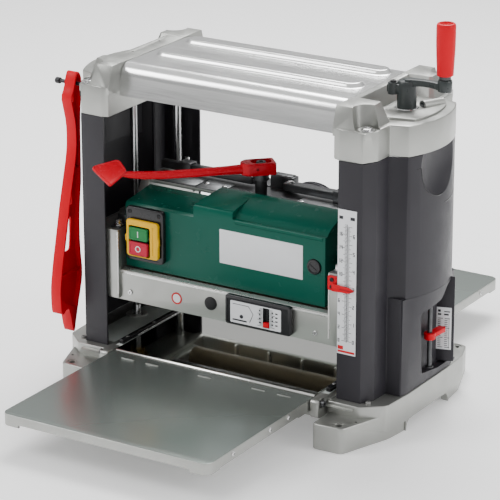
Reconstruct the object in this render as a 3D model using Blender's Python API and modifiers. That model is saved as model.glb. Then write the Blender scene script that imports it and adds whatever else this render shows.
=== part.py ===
"""Thickness planer with folding tables, a cutter carriage on four columns and a crank height drive.

Metres, +Z up. The machine stands on z = 0, boards are fed along +Y, and X runs across the width.
"""
import math

import bmesh
import bpy
from mathutils import Matrix, Vector

# Base and bed
BASE_DECK_TOP = 0.0564
BASE_UNDERSIDE = 0.016
FOOT_TOP = 0.0392
BED_TOP = 0.0620
BED_SHEET = 0.003
BED_HALF_WIDTH = 0.172
BED_HALF_LENGTH = 0.1485
GUIDE_INNER_X = 0.1765
GUIDE_OUTER_X = 0.1835
GUIDE_TOP = 0.0664
BASE_MIDDLE_TOP = 0.0586
GAP = 0.0004

# Tables
TABLE_HALF_WIDTH = 0.174
TABLE_TOP = 0.0605
TABLE_END = 0.4315
TABLE_ROOT = 0.1525
TABLE_PLATE = 0.0035
TABLE_RIM = 0.018
HINGE_Y = 0.156
HINGE_Z = 0.0555
HINGE_PIN_R = 0.003

# Columns, housings and top castings
COLUMN_X = 0.229
COLUMN_Y = 0.1115
COLUMN_R = 0.0075
SCREW_X = 0.234
SCREW_R = 0.006
HOUSING_INNER_X = 0.199
HOUSING_FRONT = 0.131
HOUSING_WALL = 0.003
BULGE_X = 0.2943
BULGE_RADIUS = 0.143
BULGE_Y = 0.070
CASTING_UNDERSIDE = 0.4142
CASTING_RIM_TOP = 0.460
CASTING_TOP = 0.490

# Top cover
COVER_HALF_LENGTH = 0.188
COVER_HALF_WIDTH = 0.105
COVER_TOP = 0.490
COVER_SKIRT = 0.4415
COVER_SHEET = 0.0018

# Carriage
CARRIAGE_BOTTOM = 0.130
WALL_TOP = 0.1765
POST_TOP = 0.240
CARRIAGE_FRONT = 0.118
OPEN_LEFT = -0.184
OPEN_RIGHT = 0.177
DECK_TOP = 0.294

# Cutter and rollers
CUTTER_Z = 0.1524
CUTTER_R = 0.0225
CUTTER_LEFT = -0.168
CUTTER_RIGHT = 0.163
CUTTER_PULLEY_R = 0.022
SHAFT_R = 0.008
KNIFE_TIP = 0.024
KNIFE_THICK = 0.003
ROLLER_Y = 0.058
ROLLER_Z = 0.145
ROLLER_R = 0.018
ROLLER_SHAFT_R = 0.006
MOTOR_Y = -0.052
MOTOR_Z = 0.232
MOTOR_R = 0.042
MOTOR_PULLEY_R = 0.011
PULLEY_LEFT = 0.1655
PULLEY_RIGHT = 0.1760
BELT_THICK = 0.003

# Crank
CRANK_ARM_REACH = 0.0580
CRANK_ARM_Z = 0.505
CRANK_HUB_BOTTOM = 0.4628
CRANK_HUB_TOP = 0.503
GRIP_BOTTOM = 0.5172
GRIP_TOP = 0.5930
GRIP_R = 0.014

# Lock lever, in plan the lever points LEVER_ANGLE from +X
LEVER_X = -0.005
LEVER_Y = -0.005
LEVER_ANGLE = math.radians(-136)
LEVER_Z = 0.337

# Sprockets and chain of the height drive
SPROCKET_R = 0.019
SPROCKET_Z = 0.031
CHAIN_THICK = 0.0035

# Push stick: hook position and the stick's plane
HOOK_Y = -0.104
HOOK_Z = 0.449
HOOK_END_X = -0.3005
STICK_X = -0.2705
STICK_HALF = 0.009
STICK_WEB = 0.0025
STICK_RIM = 0.004

FINISHES = {
    "cast_aluminium": ((0.66, 0.66, 0.63), 0.42, 0.85),
    "table_aluminium": ((0.42, 0.45, 0.43), 0.38, 0.8),
    "bright_steel": ((0.75, 0.76, 0.77), 0.18, 1.0),
    "dark_steel": ((0.16, 0.16, 0.17), 0.4, 0.8),
    "black_plastic": ((0.045, 0.043, 0.05), 0.42, 0.0),
    "green_paint": ((0.004, 0.075, 0.052), 0.25, 0.0),
    "red_plastic": ((0.62, 0.012, 0.02), 0.35, 0.0),
    "yellow_plastic": ((0.85, 0.5, 0.02), 0.4, 0.0),
    "green_button": ((0.03, 0.3, 0.08), 0.35, 0.0),
    "rubber": ((0.03, 0.03, 0.03), 0.8, 0.0),
    "label_white": ((0.8, 0.8, 0.82), 0.5, 0.0),
}

PARTS = bpy.data.collections.new("thickness_planer")
CUTTERS = bpy.data.collections.new("cutters")


# ---------------------------------------------------------------- modelling tools

def start_scene():
    for obj in list(bpy.data.objects):
        bpy.data.objects.remove(obj, do_unlink=True)
    for collection in (PARTS, CUTTERS):
        bpy.context.scene.collection.children.link(collection)


def as_operand(obj):
    """A working shape: hidden from renders, drawn as wire, used by Boolean modifiers."""
    for owner in list(obj.users_collection):
        owner.objects.unlink(obj)
    CUTTERS.objects.link(obj)
    obj.hide_render = True
    obj.display_type = "WIRE"
    return obj


def from_bmesh(bm):
    mesh = bpy.data.meshes.new("shape")
    bm.to_mesh(mesh)
    bm.free()
    return as_operand(bpy.data.objects.new("shape", mesh))


def box(low, high):
    bm = bmesh.new()
    bmesh.ops.create_cube(bm, size=1.0)
    size = [b - a for a, b in zip(low, high)]
    centre = [(a + b) / 2 for a, b in zip(low, high)]
    bmesh.ops.scale(bm, vec=size, verts=bm.verts)
    bmesh.ops.translate(bm, vec=centre, verts=bm.verts)
    return from_bmesh(bm)


def rod(start, end, radius, segments=24):
    """A cylinder from start to end."""
    start, end = Vector(start), Vector(end)
    direction = end - start
    bm = bmesh.new()
    bmesh.ops.create_cone(
        bm, cap_ends=True, segments=segments, radius1=radius, radius2=radius, depth=direction.length)
    turn = Vector((0, 0, 1)).rotation_difference(direction).to_matrix().to_4x4()
    bmesh.ops.transform(bm, matrix=Matrix.Translation((start + end) / 2) @ turn, verts=bm.verts)
    return from_bmesh(bm)


PLANES = {
    "X": (Vector((0, 1, 0)), Vector((0, 0, 1)), Vector((1, 0, 0))),
    "Y": (Vector((1, 0, 0)), Vector((0, 0, 1)), Vector((0, -1, 0))),
    "Z": (Vector((1, 0, 0)), Vector((0, 1, 0)), Vector((0, 0, 1))),
}


def plane_matrix(axis, offset):
    u, v, w = PLANES[axis]
    turn = Matrix((u, v, w)).transposed().to_4x4()
    shift = {"X": Vector((offset, 0, 0)), "Y": Vector((0, offset, 0)), "Z": Vector((0, 0, offset))}
    return Matrix.Translation(shift[axis]) @ turn


def curve_to_mesh(curve, matrix):
    """The curve as a welded mesh in world coordinates."""
    holder = bpy.data.objects.new("outline", curve)
    CUTTERS.objects.link(holder)
    bpy.context.view_layer.update()
    graph = bpy.context.evaluated_depsgraph_get()
    mesh = bpy.data.meshes.new_from_object(holder.evaluated_get(graph))
    mesh.transform(matrix)
    bpy.data.objects.remove(holder)
    bm = bmesh.new()
    bm.from_mesh(mesh)
    bmesh.ops.remove_doubles(bm, verts=bm.verts, dist=0.00001)
    return bm


def prism(outline, low, high, axis="Z", holes=()):
    """A flat outline, with holes, extruded from low to high along an axis."""
    curve = bpy.data.curves.new("outline", "CURVE")
    curve.dimensions = "2D"
    curve.fill_mode = "BOTH"
    curve.extrude = (high - low) / 2
    for loop in (outline, *holes):
        spline = curve.splines.new("POLY")
        spline.points.add(len(loop) - 1)
        spline.use_cyclic_u = True
        for point, (u, v) in zip(spline.points, loop):
            point.co = (u, v, 0, 1)
    bm = curve_to_mesh(curve, plane_matrix(axis, (low + high) / 2))
    bmesh.ops.recalc_face_normals(bm, faces=bm.faces)
    return from_bmesh(bm)


def ribbon(path, low, high, axis, thickness):
    """A bent sheet: an open path extruded along an axis and thickened about its middle."""
    curve = bpy.data.curves.new("path", "CURVE")
    curve.dimensions = "3D"
    curve.extrude = (high - low) / 2
    spline = curve.splines.new("POLY")
    spline.points.add(len(path) - 1)
    for point, (u, v) in zip(spline.points, path):
        point.co = (u, v, 0, 1)
    obj = from_bmesh(curve_to_mesh(curve, plane_matrix(axis, (low + high) / 2)))
    solidify = obj.modifiers.new("sheet", "SOLIDIFY")
    solidify.thickness = thickness
    solidify.offset = 0.0
    solidify.use_even_offset = True
    return obj


def turned(profile, start, direction, segments=24):
    """A turned piece: profile is (radius, height) from the top down, ending on the axis."""
    mesh = bpy.data.meshes.new("profile")
    points = [(radius, 0, height) for radius, height in profile]
    mesh.from_pydata(points, [(i, i + 1) for i in range(len(points) - 1)], [])
    obj = as_operand(bpy.data.objects.new("turned", mesh))
    turn = Vector((0, 0, 1)).rotation_difference(Vector(direction)).to_matrix().to_4x4()
    obj.matrix_world = Matrix.Translation(start) @ turn
    screw = obj.modifiers.new("turn", "SCREW")
    screw.steps = segments
    screw.render_steps = segments
    screw.use_merge_vertices = True
    screw.merge_threshold = 0.00001
    return obj


def boolean(obj, operand, operation):
    modifier = obj.modifiers.new(operation.lower(), "BOOLEAN")
    modifier.operation = operation
    modifier.solver = "EXACT"
    modifier.object = operand
    return obj


def joined(obj, *others):
    for other in others:
        boolean(obj, other, "UNION")
    return obj


def cut(obj, *cutters):
    for cutter in cutters:
        boolean(obj, cutter, "DIFFERENCE")
    return obj


def moved(obj, matrix):
    obj.matrix_world = matrix @ obj.matrix_world
    return obj


def part(name, finish, obj, pivot=None):
    """Make a shape into a named part with its own material, its origin on its pivot."""
    obj.name = name
    obj.data.name = name
    CUTTERS.objects.unlink(obj)
    PARTS.objects.link(obj)
    obj.hide_render = False
    obj.display_type = "TEXTURED"
    colour, roughness, metallic = FINISHES[finish]
    material = bpy.data.materials.new(name)
    material.use_nodes = True
    shader = material.node_tree.nodes["Principled BSDF"]
    shader.inputs["Base Color"].default_value = (*colour, 1.0)
    shader.inputs["Roughness"].default_value = roughness
    shader.inputs["Metallic"].default_value = metallic
    obj.data.materials.clear()
    obj.data.materials.append(material)
    if pivot is not None:
        to_local = obj.matrix_world.inverted() @ Vector(pivot)
        obj.data.transform(Matrix.Translation(-to_local))
        obj.matrix_world = obj.matrix_world @ Matrix.Translation(to_local)
    return obj


# ---------------------------------------------------------------- outline tools

def arc(centre, radius, start, end, count):
    """Points on an arc, angles in degrees."""
    angles = [math.radians(start + (end - start) * i / (count - 1)) for i in range(count)]
    return [(centre[0] + radius * math.cos(a), centre[1] + radius * math.sin(a)) for a in angles]


def mirrored(points):
    """The outline on the other side of x = 0, still turning the same way."""
    return [(-x, y) for x, y in reversed(points)]


def side(points, sign):
    return points if sign > 0 else mirrored(points)


def front_to_back(points):
    """Add the mirror image in y = 0, in order, to points that run up to y = 0."""
    return points + [(x, -y) for x, y in reversed(points) if y < -1e-6]


def inset(points, distance):
    """A closed outline (counter-clockwise) moved inwards by a distance."""
    count = len(points)
    result = []
    for i in range(count):
        before = Vector(points[i - 1])
        here = Vector(points[i])
        after = Vector(points[(i + 1) % count])
        first = (here - before).normalized()
        second = (after - here).normalized()
        normal_a = Vector((-first.y, first.x))
        normal_b = Vector((-second.y, second.x))
        mitre = (normal_a + normal_b).normalized()
        result.append(tuple(here + mitre * distance / max(0.3, mitre.dot(normal_a))))
    return result


def belt_outline(first, radius_a, second, radius_b, count=15):
    """The outline of a belt round two pulleys in a plane, counter-clockwise."""
    along = Vector(second) - Vector(first)
    tilt = math.degrees(math.atan2(along.y, along.x))
    spread = math.degrees(math.acos((radius_a - radius_b) / along.length))
    start = arc(first, radius_a, tilt + spread, tilt + 360 - spread, count)
    end = arc(second, radius_b, tilt - spread, tilt + spread, count)
    return start + end


def flank(grow=0.0):
    """The outer side of a housing or a casting in plan, front to back, at +X."""
    half_angle = math.degrees(math.asin(BULGE_Y / BULGE_RADIUS))
    bulge_centre = (BULGE_X - BULGE_RADIUS, 0.0)
    front = [
        (HOUSING_INNER_X, -HOUSING_FRONT - grow),
        (0.237, -HOUSING_FRONT - grow),
        (0.249 + grow, -0.110),
        (0.2505 + grow, -0.0785),
    ]
    bulge = arc(bulge_centre, BULGE_RADIUS + grow, -half_angle, half_angle, 13)
    back = [(x, -y) for x, y in reversed(front)]
    return front + bulge + back


# ---------------------------------------------------------------- frame

def base_casting():
    block = front_to_back([(0.190, -0.144), (0.243, -0.144), (0.275, -0.117), (0.279, -0.060)])
    foot = [(0.194, -0.192), (0.242, -0.190), (0.272, -0.107), (0.277, -0.064), (0.204, -0.064),
            (0.194, -0.120)]
    rear_foot = [(x, -y) for x, y in reversed(foot)]
    shape = box((-0.195, -0.139, 0.024), (0.195, 0.139, BASE_MIDDLE_TOP))
    for sign in (-1, 1):
        joined(shape, prism(side(block, sign), BASE_UNDERSIDE, BASE_DECK_TOP))
        for outline in (foot, rear_foot):
            joined(shape, prism(side(outline, sign), 0.0, FOOT_TOP))
        for end in (-1, 1):
            low, high = 0.034, 0.062
            inner, outer = 0.1755, 0.1900
            reach, root = HINGE_Y + 0.010, 0.130
            joined(shape, box(
                (min(sign * inner, sign * outer), min(end * reach, end * root), low),
                (max(sign * inner, sign * outer), max(end * reach, end * root), high)))
    cut(shape, box((-0.184, -0.131, -0.01), (0.184, 0.131, 0.0520)))
    cut(shape, box((-0.266, -0.098, -0.01), (0.266, 0.098, 0.0505)))
    for sign in (-1, 1):
        cut(shape, rod((sign * SCREW_X, 0, 0.04), (sign * SCREW_X, 0, 0.07), 0.0085))
        for end in (-1, 1):
            cut(shape, rod((sign * 0.231, end * 0.178, -0.01), (sign * 0.231, end * 0.178, 0.05), 0.0045))
            cut(shape, rod((sign * 0.170, end * HINGE_Y, HINGE_Z), (sign * 0.195, end * HINGE_Y, HINGE_Z),
                           HINGE_PIN_R + GAP))
    part("base_casting", "cast_aluminium", shape)


def bed():
    half = BED_SHEET / 2
    middle = BED_TOP - half
    path = [(-BED_HALF_LENGTH + half, 0.046), (-BED_HALF_LENGTH + half, middle - 0.003),
            (-BED_HALF_LENGTH + half + 0.003, middle), (BED_HALF_LENGTH - half - 0.003, middle),
            (BED_HALF_LENGTH - half, middle - 0.003), (BED_HALF_LENGTH - half, 0.046)]
    sheet = ribbon(path, -BED_HALF_WIDTH, BED_HALF_WIDTH, "X", BED_SHEET)
    part("bed_plate", "bright_steel", sheet)
    for name, sign in (("left_bed_guide", -1), ("right_bed_guide", 1)):
        inner, outer = sorted((sign * GUIDE_INNER_X, sign * GUIDE_OUTER_X))
        strip = box((inner, -0.122, BASE_MIDDLE_TOP + GAP), (outer, 0.122, GUIDE_TOP))
        part(name, "black_plastic", strip)


def table(name, end):
    """A folding table at -Y (end = -1) or +Y (end = 1)."""
    corner = 0.014
    far = end * TABLE_END
    near = end * TABLE_ROOT
    centre_y = TABLE_END - corner
    top_outline = [(-TABLE_HALF_WIDTH, TABLE_ROOT), (TABLE_HALF_WIDTH, TABLE_ROOT)]
    top_outline += arc((TABLE_HALF_WIDTH - corner, centre_y), corner, 0, 90, 5)
    top_outline += arc((-TABLE_HALF_WIDTH + corner, centre_y), corner, 90, 180, 5)
    if end < 0:
        top_outline = [(x, -y) for x, y in reversed(top_outline)]
    shape = prism(top_outline, TABLE_TOP - TABLE_RIM, TABLE_TOP)
    rim = 0.004
    cut(shape, box((-TABLE_HALF_WIDTH + rim, min(near - end * 0.02, far - end * rim), 0.02),
                   (TABLE_HALF_WIDTH - rim, max(near - end * 0.02, far - end * rim),
                    TABLE_TOP - TABLE_PLATE)))
    for x in (-0.085, 0.0, 0.085):
        joined(shape, box((x - 0.0015, min(near + end * 0.012, far - end * 0.002), TABLE_TOP - 0.012),
                          (x + 0.0015, max(near + end * 0.012, far - end * 0.002), TABLE_TOP - 0.002)))
    for sign in (-1, 1):
        cut(shape, rod((sign * 0.165, end * HINGE_Y, HINGE_Z), (sign * 0.178, end * HINGE_Y, HINGE_Z),
                       HINGE_PIN_R + GAP))
    part(name, "table_aluminium", shape, pivot=(0, end * HINGE_Y, HINGE_Z))


def hinge_pins():
    for end_name, end in (("infeed", -1), ("outfeed", 1)):
        for side_name, sign in (("left", -1), ("right", 1)):
            profile = [(0, 0.0250), (0.0045, 0.0250), (0.0050, 0.0244), (0.0050, 0.0212),
                       (HINGE_PIN_R, 0.0208), (HINGE_PIN_R, 0.0), (0, 0.0)]
            pin = turned(profile, (sign * 0.1695, end * HINGE_Y, HINGE_Z), (sign, 0, 0), 12)
            part(f"{end_name}_hinge_pin_{side_name}", "dark_steel", pin)


def columns():
    for row_name, row in (("front", -1), ("rear", 1)):
        for side_name, sign in (("left", -1), ("right", 1)):
            x, y = sign * COLUMN_X, row * COLUMN_Y
            pillar = rod((x, y, BASE_DECK_TOP + GAP), (x, y, CASTING_UNDERSIDE - GAP), COLUMN_R)
            part(f"column_{row_name}_{side_name}", "bright_steel", pillar)


def housing(name, sign):
    """A black shell round two columns, open towards the carriage."""
    path = flank(-HOUSING_WALL / 2)
    path[0] = (HOUSING_INNER_X, path[0][1])
    path[-1] = (HOUSING_INNER_X, path[-1][1])
    low, high = BASE_DECK_TOP + GAP, CASTING_UNDERSIDE - GAP
    shell = ribbon(side(path, sign), low, high, "Z", HOUSING_WALL)
    if sign > 0:
        pocket = [(-0.024, 0.078), (0.030, 0.066), (0.064, 0.066), (0.064, 0.196), (-0.004, 0.196),
                  (-0.024, 0.180)]
        joined(shell, prism(inset(pocket, -0.004), 0.2665, 0.2880, "X"))
        cut(shell, prism(pocket, 0.2705, 0.3100, "X"))
    part(name, "black_plastic", shell)


def depth_stop():
    x, y = 0.2765, 0.004
    stem = turned([(0, 0.1745), (0.0035, 0.1745), (0.0035, 0.0755), (0, 0.0755)], (x, y, 0), (0, 0, 1), 16)
    part("stop_rod", "dark_steel", stem)
    body = prism([(y - 0.012, 0.119), (y + 0.046, 0.119), (y + 0.052, 0.124), (y + 0.046, 0.129),
                  (y - 0.012, 0.129)], x - 0.0048, x + 0.0075, "X")
    cut(body, rod((x, y, 0.10), (x, y, 0.15), 0.0038, segments=16))
    part("stop_pointer", "red_plastic", body, pivot=(x, y, 0.124))


def top_casting(name, sign):
    """A cast bridge on the columns; the right one carries the crank spindle."""
    inner = COVER_HALF_LENGTH + GAP
    outline = [(0.184, -0.1275)] + [(0.2005, -0.1325)] + flank(0.0006)[1:-1]
    outline += [(0.2005, 0.1325), (0.184, 0.1275)]
    rim = prism(side(outline, sign), CASTING_UNDERSIDE, CASTING_RIM_TOP)
    edge = rim.modifiers.new("edge", "BEVEL")
    edge.width = 0.002
    edge.segments = 2
    edge.limit_method = "ANGLE"
    edge.angle_limit = math.radians(50)
    for end in (-1, 1):
        corner = [(inner, -0.1205), (0.2345, -0.1205), (0.2345, -0.0730), (0.2280, -0.0650), (inner, -0.0650)]
        if end > 0:
            corner = [(x, -y) for x, y in reversed(corner)]
        joined(rim, prism(side(corner, sign), 0.448, CASTING_TOP))
    deck = [(inner, 0.447), (0.268, 0.447), (0.268, 0.4605)]
    if sign > 0:
        deck += [(0.199, 0.4760), (0.1925, 0.4885)]
    else:
        deck += [(0.236, 0.4665), (0.221, 0.4700), (0.2195, 0.4885)]
    deck += [(inner, 0.4885)]
    tongue = [(0.166, 0.458), (0.196, 0.446), (0.196, 0.4860), (0.166, 0.4860)]
    if sign < 0:
        deck, tongue = mirrored(deck), mirrored(tongue)
    joined(rim, prism(deck, -0.070, 0.070, "Y"))
    joined(rim, rod((sign * SCREW_X, 0, 0.45), (sign * SCREW_X, 0, 0.4622 if sign > 0 else 0.478), 0.0165))
    slot_low = (min(sign * 0.15, sign * inner), -0.108, 0.4395)
    slot_high = (max(sign * 0.15, sign * inner), 0.108, 0.52)
    cut(rim, box(slot_low, slot_high))
    joined(rim, prism(tongue, -0.076, 0.076, "Y"))
    for end in (-1, 1):
        x, y = sign * 0.2335, end * 0.1135
        cut(rim, rod((x, y, 0.4570), (x, y, 0.52), 0.0204, segments=20))
    if sign > 0:
        cut(rim, rod((SCREW_X, 0, 0.4622), (SCREW_X, 0, 0.52), 0.0172))
    cut(rim, rod((sign * SCREW_X, 0, 0.40), (sign * SCREW_X, 0, 0.52 if sign > 0 else 0.446), SCREW_R + GAP))
    part(name, "cast_aluminium", rim)


def top_cover():
    half = COVER_SHEET / 2
    round_edge = 0.020
    top = COVER_TOP - half
    shoulder = COVER_HALF_WIDTH - 0.006
    centre = (shoulder - round_edge, top - round_edge)
    path = [(COVER_HALF_WIDTH - half, COVER_SKIRT)]
    path += arc(centre, round_edge, 8, 90, 7)
    path += [(-y, z) for y, z in reversed(path)]
    sheet = ribbon(path, -COVER_HALF_LENGTH, COVER_HALF_LENGTH, "X", COVER_SHEET)
    part("top_cover", "bright_steel", sheet)


def height_scale():
    label = box((0.1998, -HOUSING_FRONT - 0.0013, 0.1275), (0.2298, -HOUSING_FRONT - 0.0004, 0.3440))
    part("height_scale", "label_white", label)


# ---------------------------------------------------------------- height drive

def sprocket_outline(teeth, radius, depth):
    points = []
    for i in range(teeth * 2):
        angle = math.pi * i / teeth
        reach = radius if i % 2 == 0 else radius - depth
        points.append((reach * math.cos(angle), reach * math.sin(angle)))
    return points


def height_drive():
    for name, sign, top in (("right", 1, 0.4870), ("left", -1, 0.4400)):
        x = sign * SCREW_X
        spindle = rod((x, 0, 0.020), (x, 0, top), SCREW_R, segments=16)
        part(f"{name}_lead_screw", "bright_steel", spindle, pivot=(x, 0, 0.020))
        teeth = [(x + u, v) for u, v in sprocket_outline(14, SPROCKET_R, 0.0025)]
        wheel = prism(teeth, SPROCKET_Z - 0.003, SPROCKET_Z + 0.003)
        joined(wheel, rod((x, 0, SPROCKET_Z - 0.001), (x, 0, SPROCKET_Z + 0.012), 0.0105, segments=21))
        cut(wheel, rod((x, 0, 0.01), (x, 0, 0.06), SCREW_R + GAP, segments=16))
        part(f"{name}_sprocket", "dark_steel", wheel)
    inner = belt_outline((-SCREW_X, 0), SPROCKET_R + GAP, (SCREW_X, 0), SPROCKET_R + GAP)
    outer = belt_outline((-SCREW_X, 0), SPROCKET_R + GAP + CHAIN_THICK,
                         (SCREW_X, 0), SPROCKET_R + GAP + CHAIN_THICK)
    part("height_chain", "dark_steel", prism(outer, SPROCKET_Z - 0.0025, SPROCKET_Z + 0.0025, holes=(inner,)))


def crank():
    angle = math.atan2(0.0042, CRANK_ARM_REACH)
    tip = Vector((SCREW_X + CRANK_ARM_REACH, 0.0042, 0))
    place = Matrix.Translation((SCREW_X, 0, 0)) @ Matrix.Rotation(angle, 4, "Z")
    hub = rod((SCREW_X, 0, CRANK_HUB_BOTTOM), (SCREW_X, 0, CRANK_HUB_TOP), 0.0140)
    arm_outline = [(0.0, -0.0075), (CRANK_ARM_REACH, -0.0055)]
    arm_outline += arc((CRANK_ARM_REACH + 0.001, 0), 0.0055, -90, 90, 5)
    arm_outline += [(0.0, 0.0075)]
    arm = moved(prism(arm_outline, CRANK_ARM_Z - 0.0065, CRANK_ARM_Z + 0.0025), place)
    boss = rod((tip.x, tip.y, CRANK_ARM_Z - 0.0085), (tip.x, tip.y, CRANK_ARM_Z + 0.0080), 0.0105)
    ear = moved(rod((-0.018, -0.008, 0.4825), (-0.018, -0.008, 0.5005), 0.0075, segments=16), place)
    bridge = moved(box((-0.018, -0.0125, 0.4845), (0.0, -0.0035, 0.4985)), place)
    joined(hub, arm, boss, ear, bridge)
    cut(hub, rod((SCREW_X, 0, 0.44), (SCREW_X, 0, 0.4875), SCREW_R + GAP))
    cut(hub, rod((tip.x, tip.y, 0.49), (tip.x, tip.y, 0.53), 0.0043, segments=16))
    part("crank_arm", "black_plastic", hub)
    pin = rod((tip.x, tip.y, 0.4975), (tip.x, tip.y, GRIP_TOP - 0.004), 0.0038, segments=16)
    part("grip_pin", "dark_steel", pin)
    profile = [(0, GRIP_TOP - 0.0020), (0.0090, GRIP_TOP - 0.0020), (0.0115, GRIP_TOP),
               (GRIP_R - 0.0006, GRIP_TOP - 0.0012), (GRIP_R, GRIP_TOP - 0.006),
               (GRIP_R - 0.0002, 0.550), (0.0127, 0.525), (0.0122, 0.5195), (0.0110, GRIP_BOTTOM + 0.0003),
               (0.0075, GRIP_BOTTOM), (0.0075, 0.5138), (0.0042, 0.5138), (0.0042, GRIP_TOP - 0.0036),
               (0, GRIP_TOP - 0.0036)]
    grip = turned(profile, (tip.x, tip.y, 0), (0, 0, 1))
    part("crank_grip", "red_plastic", grip, pivot=(tip.x, tip.y, GRIP_BOTTOM))


# ---------------------------------------------------------------- carriage

def carriage_casting():
    front, top = CARRIAGE_FRONT, DECK_TOP
    casting = box((OPEN_LEFT - 0.001, -front, CARRIAGE_BOTTOM),
                  (OPEN_RIGHT + 0.001, -front + 0.007, WALL_TOP))
    walls = ((-0.1985, OPEN_LEFT), (OPEN_RIGHT, 0.1985))
    for low_x, high_x in walls:
        profile = [(-front - 0.0003, CARRIAGE_BOTTOM), (front, CARRIAGE_BOTTOM), (front, 0.205),
                   (0.085, 0.240), (0.070, top), (-0.034, top), (-0.060, POST_TOP), (-front - 0.0003, POST_TOP)]
        joined(casting, prism(profile, low_x, high_x, "X"))
    joined(casting, box((OPEN_LEFT - 0.001, front - 0.007, CARRIAGE_BOTTOM),
                        (OPEN_RIGHT + 0.001, front - 0.0005, 0.158)))
    joined(casting, box((OPEN_LEFT - 0.001, -0.030, top - 0.005), (OPEN_RIGHT + 0.001, 0.066, top - 0.0002)))
    for sign in (-1, 1):
        arm = front_to_back([(0.1975, -0.1155), (0.1990, -0.1155), (0.1990, -0.1245), (0.2340, -0.1245),
                             (0.2440, -0.1075), (0.2440, -0.0300), (0.2500, -0.0180)])
        joined(casting, prism(side(arm, sign), 0.136, 0.232))
    for sign in (-1, 1):
        x = sign * COLUMN_X
        gap = front_to_back([(0.2010, -0.094), (0.2560, -0.094), (0.2560, -0.018)])
        cut(casting, prism(side(gap, sign), 0.168, 0.204))
        cut(casting, rod((sign * SCREW_X, 0, 0.12), (sign * SCREW_X, 0, 0.25), SCREW_R + 0.0012, segments=16))
        for end in (-1, 1):
            y = end * COLUMN_Y
            cut(casting, rod((x, y, 0.12), (x, y, 0.25), COLUMN_R + GAP))
    cut(casting, rod((-0.21, 0, CUTTER_Z), (0.21, 0, CUTTER_Z), SHAFT_R + GAP))
    for end in (-1, 1):
        y = end * ROLLER_Y
        cut(casting, rod((-0.1965, y, ROLLER_Z), (0.1965, y, ROLLER_Z), ROLLER_SHAFT_R + GAP, segments=16))
    cut(casting, rod((0.15, MOTOR_Y, MOTOR_Z), (0.21, MOTOR_Y, MOTOR_Z), 0.0063, segments=16))
    part("carriage_casting", "cast_aluminium", casting)


def lead_nuts():
    for name, sign in (("left", -1), ("right", 1)):
        x = sign * SCREW_X
        nut = rod((x, 0, 0.1225), (x, 0, 0.1356), 0.0125, segments=6)
        cut(nut, rod((x, 0, 0.10), (x, 0, 0.15), SCREW_R + GAP, segments=16))
        part(f"{name}_lead_nut", "dark_steel", nut)


def motor_cover():
    """A hood over the motor, open at the back and below; its left part is lower."""
    wall = 0.003
    left, step, right = -0.1815, -0.055, 0.162
    front, back, bottom = -0.1020, -0.0360, 0.1790
    low = [(front, bottom), (back, bottom), (back, 0.2880), (front + 0.003, 0.2785), (front, 0.2750)]
    high = [(front, bottom), (back, bottom), (back, 0.3055), (front + 0.006, 0.2975), (front, 0.2920)]
    cover = prism(low, left, step + 0.002, "X")
    joined(cover, prism(high, step, right, "X"))
    low_room = [(front + wall, bottom - 0.01), (back + 0.01, bottom - 0.01), (back + 0.01, 0.2860),
                (front + 0.004, 0.2755), (front + wall, 0.2740)]
    high_room = [(front + wall, bottom - 0.01), (back + 0.01, bottom - 0.01), (back + 0.01, 0.3035),
                 (front + 0.0075, 0.2945), (front + wall, 0.2905)]
    cut(cover, prism(low_room, left + wall, step + 0.010, "X"))
    cut(cover, prism(high_room, step + wall, right - wall, "X"))
    cut(cover, rod((0.14, MOTOR_Y, MOTOR_Z), (0.17, MOTOR_Y, MOTOR_Z), 0.0090, segments=16))
    cut(cover, rod((0.144, front - 0.01, 0.2375), (0.144, front + 0.01, 0.2375), 0.0118))
    part("motor_cover", "green_paint", cover)


def motor():
    can = rod((-0.085, MOTOR_Y, MOTOR_Z), (0.135, MOTOR_Y, MOTOR_Z), MOTOR_R, segments=32)
    joined(can, rod((-0.108, MOTOR_Y, MOTOR_Z), (-0.080, MOTOR_Y, MOTOR_Z), 0.022, segments=24))
    joined(can, rod((0.130, MOTOR_Y, MOTOR_Z), (0.148, MOTOR_Y, MOTOR_Z), 0.020, segments=24))
    cut(can, rod((-0.070, MOTOR_Y, MOTOR_Z), (0.20, MOTOR_Y, MOTOR_Z), 0.0066, segments=16))
    part("motor_can", "dark_steel", can)
    shaft = rod((-0.060, MOTOR_Y, MOTOR_Z), (0.188, MOTOR_Y, MOTOR_Z), 0.0058, segments=16)
    joined(shaft, rod((PULLEY_LEFT, MOTOR_Y, MOTOR_Z), (PULLEY_RIGHT, MOTOR_Y, MOTOR_Z), MOTOR_PULLEY_R))
    part("motor_shaft", "bright_steel", shaft, pivot=(0.14, MOTOR_Y, MOTOR_Z))
    cap = turned([(0, 0.0030), (0.0095, 0.0030), (0.0110, 0.0022), (0.0110, -0.0040), (0, -0.0040)],
                 (0.144, -0.1020, 0.2375), (0, -1, 0))
    part("brush_cap", "black_plastic", cap)
    first, second = (MOTOR_Y, MOTOR_Z), (0.0, CUTTER_Z)
    inner = belt_outline(first, MOTOR_PULLEY_R + GAP, second, CUTTER_PULLEY_R + GAP)
    outer = belt_outline(first, MOTOR_PULLEY_R + GAP + BELT_THICK, second, CUTTER_PULLEY_R + GAP + BELT_THICK)
    part("drive_belt", "rubber", prism(outer, PULLEY_LEFT + 0.001, PULLEY_RIGHT - 0.001, "X", holes=(inner,)))


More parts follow.
